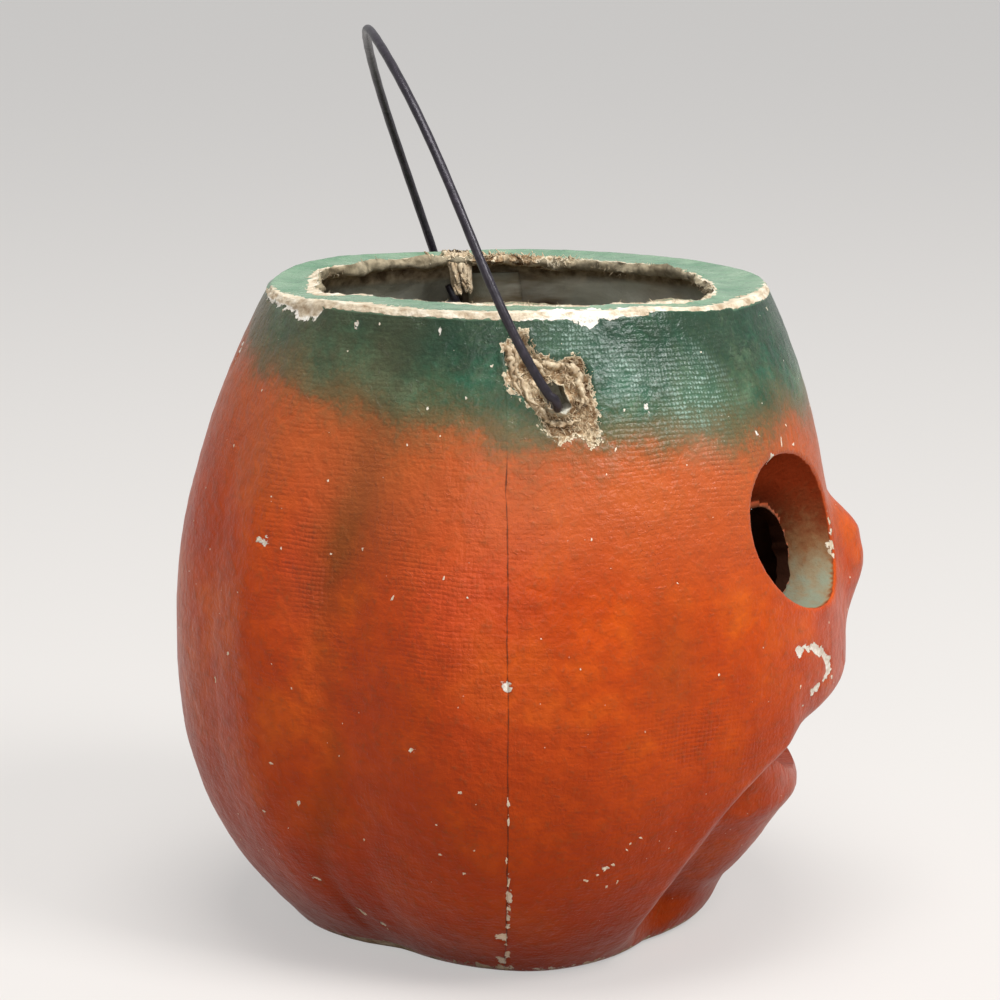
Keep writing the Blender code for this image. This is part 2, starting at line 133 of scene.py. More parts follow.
def jaw(angle, z):
    reach = (angle / 64) ** 2.4 + (np.maximum(z, 0) / 49.8) ** 2.4
    inside = 1 - smooth((reach ** (1 / 2.4) - 0.84) / 0.16)
    inside = inside * smooth(z / 10)
    groove = 4.2 * swell(angle, 45, 11)
    lip = swell(z, 26.2, 2.6)
    above = z - mouth_line(angle)
    crease = 3.5 * swell(above / np.where(above > 0, 7.4, 4.3))
    crease = crease * (1 - smooth(angle, MOUTH_ANGLE, 11))
    return -(4.4 + groove - lip) * inside - crease


def relief(angle, z):
    """The face in front of the plain body: nose, cheeks, flattened brow and jaw."""
    across = FACE_RADIUS * np.radians(angle)
    share = smooth(z, 54.5, 26.6)
    nose = 4.8 * smooth(z, 81.1, -8.7) * smooth(z, 54.5, 13.9) * swell(across / (8.8 - 3 * share))
    flat = swell(z, 79, 20) * swell(angle / 32)
    cheek = swell(z, 51, 11) * swell(angle, 26, 26)
    return nose + 0.4 * cheek - 1.6 * flat + jaw(angle, z)


def outer_radius(angle, z):
    angle = np.abs(level(angle))
    return lobes(angle, z) + relief(angle, z)


def inner_radius(angle, z):
    """The felted inside, a wall thickness behind the deepest place of the outside near by."""
    turn = math.degrees(FELT_REACH / SIDE_RADIUS)
    near = outer_radius(angle, z)
    for side in (-1, 1):
        near = np.minimum(near, outer_radius(angle + side * turn, z))
        near = np.minimum(near, outer_radius(angle, np.clip(z + side * FELT_REACH, 0, HEIGHT)))
    return near - WALL


def mouth_edge(angle):
    """Radius of the torn inner edge of the rim."""
    turn = np.radians(angle)
    spot = np.stack([9 * np.sin(turn), 9 * np.cos(turn), 0 * turn], -1)
    coarse = np.interp(angle, *zip(*MOUTH_EDGE), period=360)
    return coarse + 0.55 * noise(spot, 1.1, 5) + 0.25 * noise(spot, 0.35, 6)


def noise(points, size, seed):
    """Smooth value noise from -1 to 1 at points (..., 3), with features of about `size`."""
    q = np.asarray(points, float) / size
    cell = np.floor(q).astype(np.int64)
    f = q - cell
    f = f * f * (3 - 2 * f)
    total = 0
    for corner in itertools.product((0, 1), repeat=3):
        c = cell + np.array(corner)
        n = (c[..., 0] * 73856093) ^ (c[..., 1] * 19349663) ^ (c[..., 2] * 83492791) ^ (seed * 97531)
        n = (n ^ (n >> 13)) * 1274126177
        n = (n ^ (n >> 16)) & 0xFFFF
        weight = 1
        for axis in range(3):
            weight = weight * (f[..., axis] if corner[axis] else 1 - f[..., axis])
        total = total + weight * (n / 32767.5 - 1)
    return total


def fractal(points, size, seed, octaves=3):
    total, weight = 0, 0
    for i in range(octaves):
        total = total + noise(points, size * 0.5**i, seed + 17 * i) * 0.55**i
        weight += 0.55**i
    return total / weight


def level_points(turn, z, radius_at, seam_y):
    """x and y of the points where level sections cross directions from the seam plane's centre."""
    t = np.radians(turn)
    dx, dy = -np.sin(t), -np.cos(t)
    along = -seam_y * dy
    off = seam_y * seam_y - along * along
    reach = np.full(np.broadcast(turn, z).shape, 62)
    for _ in range(6):
        angle = np.degrees(np.arctan2(-dx * reach, -(seam_y + dy * reach)))
        reach = along + np.sqrt(np.maximum(radius_at(angle, z) ** 2 - off, 0))
    return dx * reach, seam_y + dy * reach


def superellipse(angle, z):
    """How far out of the eye's outline a place is (1 on it), and its two shares across and up."""
    a = (angle - EYE[0]) / EYE[2]
    b = (z - EYE[1] - EYE_TILT * (angle - EYE[0])) / EYE[3]
    rho = (np.abs(a) ** SQUARENESS + np.abs(b) ** SQUARENESS) ** (1 / SQUARENESS)
    return rho, a, b


def sink_eyes(x, y, z, steps, felt):
    """Draw the grid round each eye into its funnel. `steps` are rows of: place from outside to inside,
    share of the way from eye to pupil, scale of the outline, growth, depth, blend from the plain wall."""
    angle = np.degrees(np.arctan2(-x, -y))
    steps = np.array(steps)
    where = steps[:, 0]
    out_x, out_y, out_z, away = x.copy(), y.copy(), z.copy(), np.full_like(x, 3)
    for side in (1, -1):
        rho, a, b = superellipse(side * angle, z)
        away = np.minimum(away, rho)
        near = rho < where[0]
        rho, a, b = rho[near], a[near], b[near]
        share, scale, grow, depth, blend = (np.interp(-rho, -where, steps[:, i]) for i in range(1, 6))
        shrink = np.where(rho < where[-1], rho / where[-1], 1)
        unit = np.maximum(rho, 1e-6)
        half_a = EYE[2] + (PUPIL[2] - EYE[2]) * share + np.degrees(grow / FACE_RADIUS)
        half_z = EYE[3] + (PUPIL[3] - EYE[3]) * share + grow
        new_a = EYE[0] + (PUPIL[0] - EYE[0]) * share + half_a * scale * shrink * a / unit
        new_z = EYE[1] + (PUPIL[1] - EYE[1]) * share + half_z * scale * shrink * b / unit
        new_z = new_z + EYE_TILT * (new_a - EYE[0] - (PUPIL[0] - EYE[0]) * share)
        radius = outer_radius(new_a, new_z) - depth
        if felt:
            radius = radius * blend + inner_radius(new_a, new_z) * (1 - blend)
        turn = np.radians(side * new_a)
        out_x[near] = -radius * np.sin(turn)
        out_y[near] = -radius * np.cos(turn)
        out_z[near] = new_z
    return out_x, out_y, out_z, away


# Rows of a funnel, outside and inside, as sink_eyes() reads them
OUTER_FUNNEL = (
    (1.12, 0, 1.12, 0, 0, 1), (1.05, 0, 1.045, 0, 0, 1), (1.01, 0, 1.005, 0, 0.15, 1),
    (0.97, 0.03, 0.995, 0, 0.6, 1), (0.92, 0.14, 1, 0, 1.6, 1), (0.56, 0.96, 1, 0, 7.4, 1),
    (0.5, 1, 0.96, 0, 7.9, 1), (0.44, 1, 0.86, 0, 8.1, 1),
)
INNER_FUNNEL = (
    (1.42, 0, 1.42, 0, 3.2, 0), (1.25, 0.1, 1.12, 1.6, 3.4, 0.6), (1.12, 0.42, 1, 2.9, 4.2, 1),
    (0.8, 1, 1, 2.7, 8.6, 1), (0.64, 1, 1, 1.4, 9.7, 1), (0.5, 1, 0.86, 0, 10, 1),
)


def profile(low, high, radius_at, count=2000):
    """Heights, and how far along the side's profile they lie."""
    z = np.linspace(low, high, count)
    r = radius_at(100 + 0 * z, z)
    return z, np.concatenate([[0], np.cumsum(np.hypot(np.diff(z), np.diff(r)))])


def even_heights(low, high, count, radius_at):
    """Heights that divide the side profile into even lengths."""
    z, along = profile(low, high, radius_at)
    return np.interp(np.linspace(0, along[-1], count), along, z)


def rim_lift(angle):
    """How far the rim has curled up out of level."""
    a = level(angle)
    near = 1.25 * smooth(a, 35, 25) * smooth(a, 160, -30)
    return 0.9 * swell(a, -141, 24) + near


def foot_radius(angle, z):
    """The skin, rounded where it meets the flat base."""
    below = 1 - np.clip(z / FOOT_ROUND, 0, 1)
    return outer_radius(angle, z) - FOOT_ROUND * (1 - np.sqrt(np.clip(1 - below**2, 0, 1)))


def shell_grid(front):
    """Vertex rows of one half, from the middle of its base round the outside to the middle of its floor."""
    seam_y = SEAM_OFFSET + (-0.5 if front else 0.5) * SEAM_GAP
    start = -90 if front else 90
    turn = np.linspace(start, start + 180, COLUMNS + 1)[None, :]
    curl = rim_lift(turn)
    rows, skin = [], []

    def ring(z, radius_at, painted, share=1, lift=0):
        x, y = level_points(turn, z, radius_at, seam_y)
        place = (x * share, seam_y + (y - seam_y) * share, z + lift)
        rows.append([np.broadcast_to(v, turn.shape)[0] for v in place])
        skin.append(np.full(turn.shape[1], painted))

    for share in np.linspace(0.06, 0.98, BASE_ROWS):
        ring(0, foot_radius, 1, share)
    foot = FOOT_ROUND * (1 - np.cos(np.radians(np.linspace(0, 80, FOOT_ROWS))))
    for z in foot:
        ring(z, foot_radius, 1)
    shoulder, top = HEIGHT - RIM_ROUND, RIM_RADIUS - RIM_ROUND
    for z in even_heights(foot[-1], shoulder, SIDE_ROWS + 1, outer_radius)[1:]:
        ring(z, outer_radius, 1, lift=curl * smooth(z, 112, 6))
    for t in np.radians(np.linspace(18, 90, ROUND_ROWS)):
        radius = RIM_RADIUS - RIM_ROUND * (1 - math.cos(t))
        ring(shoulder + RIM_ROUND * math.sin(t), lambda a, z: radius + 0 * a, 1, lift=curl)
    for share in np.linspace(0, 1, TOP_ROWS + 1)[1:]:
        lift = curl * (1 - 0.5 * share) - 0.35 * math.sin(math.pi * share)
        ring(HEIGHT, lambda a, z: top + (mouth_edge(a) + 0.5 - top) * share, 1, lift=lift)
    for t in np.radians(np.linspace(30, 150, ROUND_ROWS)):
        lift = 0.5 * curl - 0.9 * (1 - math.cos(t))
        ring(HEIGHT, lambda a, z: mouth_edge(a) + 0.5 - 0.5 * math.sin(t), 0.6, lift=lift)
    first_inner, under = len(rows), HEIGHT - FLANGE_THICKNESS

    def below_rim(a, z):
        return mouth_edge(a) + 0.5 + (inner_radius(a, under + 0 * a) - mouth_edge(a) - 0.5) * share

    for share in np.linspace(0, 1, UNDER_ROWS + 1)[1:]:
        lift = 0.5 * curl * (1 - share) - 1.8 - (FLANGE_THICKNESS - 1.8) * share
        ring(HEIGHT, below_rim, 0, lift=lift)
    for z in even_heights(BASE_THICKNESS, under, INNER_ROWS + 1, inner_radius)[::-1][1:]:
        ring(z, inner_radius, 0)
    for share in np.linspace(0.96, 0.08, 12):
        ring(BASE_THICKNESS, inner_radius, 0, share)
    x, y, z = (np.array(r) for r in zip(*rows))
    away = np.full_like(x, 3)
    if front:
        body = slice(BASE_ROWS + FOOT_ROWS, BASE_ROWS + FOOT_ROWS + SIDE_ROWS)
        x[body], y[body], z[body], away[body] = sink_eyes(x[body], y[body], z[body], OUTER_FUNNEL, False)
        felt = slice(first_inner + UNDER_ROWS, first_inner + UNDER_ROWS + INNER_ROWS)
        x[felt], y[felt], z[felt], _ = sink_eyes(x[felt], y[felt], z[felt], INNER_FUNNEL, True)
    return x, y, z, np.array(skin), away, first_inner, seam_y


def zip_faces(points, first, second):
    """Triangles between two chains of vertex numbers, always across the shorter diagonal."""
    faces, i, j = [], 0, 0
    while i < len(first) - 1 or j < len(second) - 1:
        along = j == len(second) - 1
        if not along and i < len(first) - 1:
            ahead = np.linalg.norm(points[first[i + 1]] - points[second[j]])
            along = ahead < np.linalg.norm(points[first[i]] - points[second[j + 1]])
        if along:
            faces.append((first[i], first[i + 1], second[j]))
            i += 1
        else:
            faces.append((first[i], second[j + 1], second[j]))
            j += 1
    return faces


def sleeve(rings, count, base=0):
    """Faces between successive rings of `count` vertices, the first vertex having the number `base`."""
    faces = []
    for low in range(base, base + (rings - 1) * count, count):
        for i in range(count):
            j = (i + 1) % count
            faces.append((low + i, low + j, low + count + j, low + count + i))
    return faces


def add_object(name, data):
    made = bpy.data.objects.new(name, data)
    bpy.context.collection.objects.link(made)
    return made


def new_mesh(name, points, faces, attributes=None, look=None, is_smooth=False):
    """An object from points in millimetres, with float attributes on its vertices."""
    mesh = bpy.data.meshes.new(name)
    mesh.from_pydata((np.asarray(points) * MM).tolist(), [], [tuple(int(i) for i in f) for f in faces])
    for key, values in (attributes or {}).items():
        write(mesh, key, values)
    mesh.update()
    made = add_object(name, mesh)
    shape = bmesh.new()
    shape.from_mesh(mesh)
    bmesh.ops.recalc_face_normals(shape, faces=shape.faces)
    shape.to_mesh(mesh)
    shape.free()
    if is_smooth:
        mesh.shade_smooth()
    if look:
        mesh.materials.append(look)
    return made


def quads(number):
    """Faces between a grid of vertex numbers."""
    corners = number[:-1, :-1], number[:-1, 1:], number[1:, 1:], number[1:, :-1]
    return np.stack(corners, -1).reshape(-1, 4).tolist()


def shell(front):
    x, y, z, skin, away, first_inner, seam_y = shell_grid(front)
    rows, columns = x.shape
    points = np.stack([x, y, z], -1).reshape(-1, 3)
    number = np.arange(rows * columns).reshape(rows, columns)
    bottom, floor = len(points), len(points) + 1
    points = np.vstack([points, [[0, seam_y, 0], [0, seam_y, BASE_THICKNESS]]])
    skin = np.concatenate([skin.reshape(-1), [1, 0]])
    away = np.concatenate([away.reshape(-1), [3, 3]])
    faces = quads(number)
    for pole, row in ((bottom, number[0]), (floor, number[-1])):
        faces += [(pole, row[i], row[i + 1]) for i in range(columns - 1)]
    for side in (0, -1):
        outer = [bottom] + list(number[:first_inner, side])
        inner = [floor] + list(number[first_inner:, side][::-1])
        faces += zip_faces(points, outer, inner)
    return new_mesh("front_half" if front else "back_half", points, faces, {"skin": skin, "eye": away})


def prism(name, loops, skin=0.3):
    """A closed cutter through loops of points, which gives its cut edges a value of `skin`."""
    count = len(loops[0])
    points = np.vstack(loops)
    faces = sleeve(len(loops), count)
    for base in (0, len(points) - count):
        far = base + count - 1
        faces += [(base + i, base + i + 1, far - i - 1, far - i) for i in range(count // 2 - 1)]
    return new_mesh(name, points, faces, {"skin": np.full(len(points), skin)})


def skin_places(angle, z, depth):
    radius = outer_radius(angle, z) - depth
    turn = np.radians(angle)
    return np.stack([-radius * np.sin(turn), -radius * np.cos(turn), z + 0 * turn], -1)


def cut(target, cutter):
    change = target.modifiers.new("cut", "BOOLEAN")
    change.operation = "DIFFERENCE"
    change.solver = "MANIFOLD"
    change.object = cutter
    depsgraph = bpy.context.evaluated_depsgraph_get()
    mesh = bpy.data.meshes.new_from_object(target.evaluated_get(depsgraph))
    target.modifiers.remove(change)
    old = target.data
    target.data = mesh
    bpy.data.meshes.remove(old)
    bpy.data.objects.remove(cutter)


def turns(count):
    return 2 * np.pi * (np.arange(count) + 0.5) / count


def ragged_ring(turn, reach, size, seed):
    """Noise round a cut: the larger its reach, the more bumps go round."""
    return noise(np.stack([reach * np.cos(turn), reach * np.sin(turn), 0 * turn], -1), size, seed)


def pupil_cutter(side, scale, rise, lower):
    """The pupil's cut, its lower half narrowed by a factor."""
    turn = turns(120)
    c, s = np.cos(turn), np.sin(turn)
    ragged = scale + 0.03 * ragged_ring(turn, 3, 0.8, 11 + side)
    a = PUPIL[0] + PUPIL[2] * ragged * np.sign(c) * np.abs(c) ** (2 / SQUARENESS)
    half = PUPIL[3] * ragged * np.where(s < 0, lower, 1)
    b = PUPIL[1] + rise + half * np.sign(s) * np.abs(s) ** (2 / SQUARENESS) + EYE_TILT * (a - PUPIL[0])
    return prism("pupil", [skin_places(side * a, b, d) for d in (5, 15)])


def smile_cutter():
    turn = turns(160)
    ragged = 1 + 0.03 * ragged_ring(turn, 4, 0.5, 21)
    a = MOUTH_ANGLE * ragged * np.cos(turn)
    b = mouth_line(a) + 0.5 * MOUTH_OPENING * ragged * np.sin(turn)
    return prism("smile", [skin_places(a, b, d) for d in (-6, WALL + 6)], 0.9)


def wall_x(radius_at, y, z):
    """How far out to the side a surface is at a y and a height."""
    x = SIDE_RADIUS
    for _ in range(6):
        x = math.sqrt(float(radius_at(np.degrees(np.arctan2(x, -y)), np.float64(z))) ** 2 - y * y)
    return x


def hinge():
    """The distance between the hinge points, and the bail's own frame at rest, in millimetres."""
    left, right = (
        Vector((side * (wall_x(outer_radius, y, z) + LEG_GAP + WIRE_RADIUS), y, z))
        for side, (y, z) in zip((-1, 1), HOLES)
    )
    along = (right - left).normalized()
    level_back = Vector((0, 0, 1)).cross(along).normalized()
    lean = math.radians(LEAN)
    rise = along.cross(level_back) * math.cos(lean) + level_back * math.sin(lean)
    axes = Matrix((along, rise.cross(along), rise)).transposed().to_4x4()
    return (right - left).length, Matrix.Translation((left + right) / 2) @ axes


def hole_cutter(side, half_width, half_height, rise):
    length, place = hinge()
    span, turn = length / 2, turns(60)
    shape = 1 + 0.12 * ragged_ring(turn, 3, 1, 31)
    loops = [
        [
            tuple(
                place @ Vector((side * x, half_width * r * math.cos(t), half_height * r * math.sin(t)))
                + up(rise)
            )
            for t, r in zip(turn, shape)
        ]
        for x in (span + 6, span - 12)
    ]
    return prism("bail_hole", [np.array(loop) for loop in loops])


def write(mesh, key, values):
    if key not in mesh.attributes:
        mesh.attributes.new(key, "FLOAT", "POINT")
    mesh.attributes[key].data.foreach_set("value", np.asarray(values, np.float32))


front_half = shell(True)
back_half = shell(False)
for cutter in (
    pupil_cutter(1, 0.94, 0, 1),
    pupil_cutter(-1, 0.78, 1.5, 0.66),
    smile_cutter(),
    hole_cutter(-1, 2.2, 3, 1.6),
):
    cut(front_half, cutter)
cut(back_half, hole_cutter(1, 2.1, 2.1, 0))


def vectors(mesh, key):
    flat = np.empty(3 * len(mesh.vertices), np.float32)
    mesh.vertices.foreach_get(key, flat)
    return flat.reshape(-1, 3).astype(float)


def read(mesh, key):
    values = np.empty(len(mesh.vertices), np.float32)
    mesh.attributes[key].data.foreach_get("value", values)
    return values.astype(float)


# The height at which green paint takes over from orange: angle and height
PAINT_LINE = (
    (-180, 108), (-125, 105), (-60, 95.4), (-31, 94.7), (31, 95.7), (45, 93), (57, 94.4), (77, 97),
    (90, 97.5), (104, 98.3), (115, 96), (125, 101.4), (150, 106), (175, 110.7), (180, 110.8),
)

# The chipped band along the rim's outer edge: its inner bound on the flange (angle, radius) and its
# lower bound on the side (angle, height)
BAND_TOP = (
    (-180, 45.8), (-8, 46.5), (-3, 45.2), (3, 43.8), (18, 42.6), (25, 41.6), (36, 41), (45, 41.4), (50, 40.4),
    (55, 39.4), (64, 38.4), (69, 39.4), (72, 37.6), (80, 36.6), (85, 37), (90, 38.2), (97, 39), (104, 39.2),
    (109, 40), (112, 41.2), (118, 40.2), (123, 39.4), (133, 39.4), (138, 39.6), (142, 40.4), (149, 42),
    (158, 41.4), (165, 42.4), (173, 43.9), (178, 44.9), (180, 45.8),
)
BAND_FOOT = (
    (-180, 119.6), (-8, 119.6), (-3, 119.4), (13, 119.3), (21, 119.6), (32, 119.5), (40, 119.2), (50, 119.4),
    (57, 119.2), (60, 118.9), (61, 117.6), (62.5, 119), (66, 119.2), (68, 118.4), (69.5, 117), (71, 116.5),
    (72.5, 117.4), (73.5, 118.2), (75, 116.6), (76, 115.7), (77.5, 116.8), (79, 117), (81, 117.2),
    (83, 117.8), (85, 118.3), (88, 118), (91, 117.6), (94, 118.2), (97, 118.8), (101, 119.2), (110, 119.3),
    (117, 119.2), (126, 118.9), (131, 119.2), (136, 118.4), (139, 117.2), (140.5, 115.7), (143, 115.3),
    (147, 115.1), (150, 116.3), (156, 117.2), (165, 116.7), (172, 117.9), (176, 119), (180, 119.6),
)

# The paper torn round the bail's hole: angle and height of its outline
TEAR = (
    (94.5, 114.8), (94.7, 113.1), (94, 111), (93.7, 108.3), (91.4, 106.6), (89.1, 104.9), (87.1, 103.2),
    (87.5, 101.9), (85.7, 100.1), (83.4, 99), (81, 100), (79.5, 100), (79.1, 98.9), (77, 98.1), (76.5, 100.5),
    (75.9, 102.5), (76.7, 104.6), (76.6, 107.4), (77.1, 110.1), (78.1, 111.9), (80.2, 112.9), (82, 112.6),
    (85, 112.4), (87.6, 113.1), (88.8, 114.1), (89.7, 116.8), (91.9, 116.8),
)

# Flecks where paint has come off down to the white ground: angle, height, half sizes and lean
FLECKS = (
    (128.4, 116.5, 0.75, 0.7, 0.3), (108.3, 116.9, 0.5, 0.75, -0.3), (122.4, 117.1, 0.25, 0.25, 0),
    (96.7, 111.3, 0.4, 0.2, -0.4), (101.4, 106.1, 0.22, 0.22, 0), (108.8, 104.1, 0.25, 0.28, 0.2),
    (129.2, 112.1, 0.18, 0.15, 0), (112.2, 97.9, 0.15, 0.22, 0), (105.8, 99.8, 0.2, 0.16, 0),
    (172.7, 107.6, 2.2, 0.8, 1.2), (174.6, 105.2, 1, 0.7, 1.2), (66.2, 103.7, 0.45, 0.9, -0.5),
    (66.9, 104.6, 0.4, 0.45, 0.4), (37.8, 92.6, 0.55, 1.2, 0.1), (41, 97.4, 0.5, 0.5, 0.5),
    (39.4, 96, 0.45, 0.5, 0.4), (33.7, 94.5, 0.14, 0.9, 0.3), (28.6, 93.4, 0.35, 0.3, 0.5),
    (73.7, 97.5, 0.16, 0.4, 0.4), (50.9, 111.8, 0.25, 0.15, 0), (71.1, 103.7, 0.2, 0.3, 0.3),
    (138.9, 79, 0.95, 0.6, 0.1), (138.6, 80.4, 0.45, 0.5, 0.3), (140.2, 79.4, 0.35, 0.3, 0),
    (93.2, 59.2, 0.55, 1.1, 0), (112.6, 72.6, 0.25, 0.55, 0.5), (108.9, 46.7, 0.55, 0.3, -0.4),
    (100.7, 39.9, 0.35, 0.3, 0), (93, 38, 0.25, 0.9, 0), (93, 34.8, 0.22, 0.8, 0),
    (93.1, 22.6, 0.3, 0.9, 0.1), (93.3, 19.2, 0.6, 1.5, 0), (93.4, 14.4, 0.55, 1.7, 0.05),
    (94.9, 9.4, 1.4, 0.9, 0.1), (93.8, 4.4, 0.6, 1.4, 0), (95.4, 3, 1.4, 0.8, 0.3), (93.4, 27, 0.2, 0.6, 0),
    (103.5, 76.8, 0.14, 0.45, 0.4), (57, 58, 0.25, 0.22, 0), (24, 45, 0.35, 0.3, 0), (146.5, 58, 0.3, 0.3, 0),
    (152, 52, 0.35, 0.6, 0), (137, 40, 0.45, 0.2, 0.2), (133, 33, 0.3, 0.5, 0.3), (141, 30, 0.5, 0.2, 0),
    (79.3, 22.5, 0.5, 0.25, 0.5), (76, 24.5, 0.5, 0.3, 0.6), (74.5, 25.2, 0.45, 0.25, 0.5),
    (77.2, 23.4, 0.25, 0.2, 0.2), (70, 30, 0.4, 0.15, 0.6), (72.4, 28, 0.35, 0.15, 0.6),
    (73, 21.4, 0.15, 0.4, 0.2), (75, 20.6, 0.2, 0.3, 0.2), (105, 27.5, 0.4, 0.2, 0.2),
    (101, 24, 0.3, 0.25, -0.5), (15.3, 52.6, 0.6, 1, 0.2), (13.2, 50.8, 0.5, 0.8, 0.3),
    (13.7, 79.2, 0.4, 1, 0.1), (13.5, 77.2, 0.6, 1.4, 0), (13.5, 74.9, 0.6, 1.5, 0),
    (13.8, 72.8, 0.6, 1.2, -0.1), (14.6, 71, 0.4, 0.9, -0.2), (136.4, 16.4, 0.8, 0.4, 0.4),
    (131, 9.6, 0.7, 0.4, 0.5), (127, 7.4, 0.8, 0.4, 0.2),
)
# The cheek's chips, as blobs along a line: angle, height, half size
CHEEK_CHIPS = (
    (38.2, 59, 0.55), (37.3, 58.6, 0.75), (36, 58.9, 0.6), (34.8, 58.5, 0.65), (33.4, 58.5, 0.7),
    (32.2, 58, 0.75), (31, 57.4, 0.85), (29.8, 56.8, 0.8), (28.8, 56.2, 0.7), (28, 55.4, 0.8),
    (27.2, 54.6, 0.85), (26.6, 53.6, 0.9), (26.4, 52.6, 0.8), (27.2, 51.7, 0.8), (28.2, 51.1, 0.6),
    (30.4, 50.7, 0.55), (31.6, 50.4, 0.8), (32.6, 50.2, 0.7), (36, 48, 0.4), (37.6, 57.4, 0.4),
    (24.8, 50.9, 0.35),
)
# Flecks up to the first size are plates of their own, and those above the second are painted and sunk in
PLATE_SIZE, PAINTED_SIZE = 0.36, 0.26

# Soft patches: strength, angle and its reach, height and its reach
# Painted highlight in pink on two lobes
PINK_PAINTED_HIGHLIGHT = ((1, 131, 8, 76, 17), (1, 103, 10, 74, 14))
# Painted highlight on the green near the rim
GREEN_PAINTED_HIGHLIGHT = ((1, 80, 6, 115, 3), (1, 70.5, 4.5, 109.5, 3.5), (1.2, 55.5, 7.5, 103.5, 7))
# Painted light on the inside wall below the rim
INSIDE_PAINTED_LIGHT = ((1, -52, 24, 107, 9), (0.5, -118, 14, 104, 7))
WEAVE = ((0.9, 58, 15, 100, 14), (0.6, 62, 12, 44, 6))
WEAVE_BOTH_SIDES = ((1, 131, 8, 82, 16), (0.45, 106, 9, 72, 12))


def patches(angle, z, rows):
    return sum(s * swell(angle, a, wide) * swell(z, h, high) for s, a, wide, h, high in rows)


def periodic(angle, pairs):
    return np.interp(level(angle), *zip(*pairs))


def signed_distance(x, y, outline):
    """Distance inside (positive) or outside (negative) a closed outline, all in millimetres."""
    best = np.full(x.shape, 1e9)
    inside = np.zeros(x.shape, bool)
    for (ax, ay), (bx, by) in zip(outline, outline[1:] + outline[:1]):
        wide, high = bx - ax, by - ay
        along = np.clip(((x - ax) * wide + (y - ay) * high) / (wide**2 + high**2), 0, 1)
        best = np.minimum(best, np.hypot(x - ax - along * wide, y - ay - along * high))
        inside ^= ((ay > y) != (by > y)) & (x < ax + (y - ay) * wide / (high + 1e-12))
    return np.where(inside, best, -best)


def lumps(p):
    """The moulded body's small unevenness, the same on both halves."""
    return 0.26 * fractal(p, 15, 1) + 0.11 * fractal(p, 5, 2) + 0.04 * noise(p, 1.5, 3)


def fleck_field(p, angle):
    """How deep in a fleck a place of the skin is, in millimetres."""
    best = np.full(len(p), -9)
    rows = [row for row in FLECKS if min(row[2:4]) > PAINTED_SIZE]
    rows += [(a, h, size * 1.25, size, 0) for a, h, size in CHEEK_CHIPS]
    for a, h, wide, high, lean in rows:
        x, y = np.radians(angle - a) * PAINT_RADIUS, p[:, 2] - h
        along = x * math.cos(lean) + y * math.sin(lean)
        over = y * math.cos(lean) - x * math.sin(lean)
        best = np.maximum(best, (1 - np.hypot(along / wide, over / high)) * min(wide, high))
    return best


TEAR_OUTLINE = [(math.radians(a) * TEAR_RADIUS, h) for a, h in TEAR]


def inside_folds(p):
    """The unpressed inside of the pulp, with soft folds that run round it."""
    flat = p * np.array([0.5, 0.5, 1.5])
    return 1.3 * fractal(flat, 9, 7) + 0.6 * swell(noise(flat, 6, 9) / 0.16) + 0.3 * fractal(p, 2.5, 8)


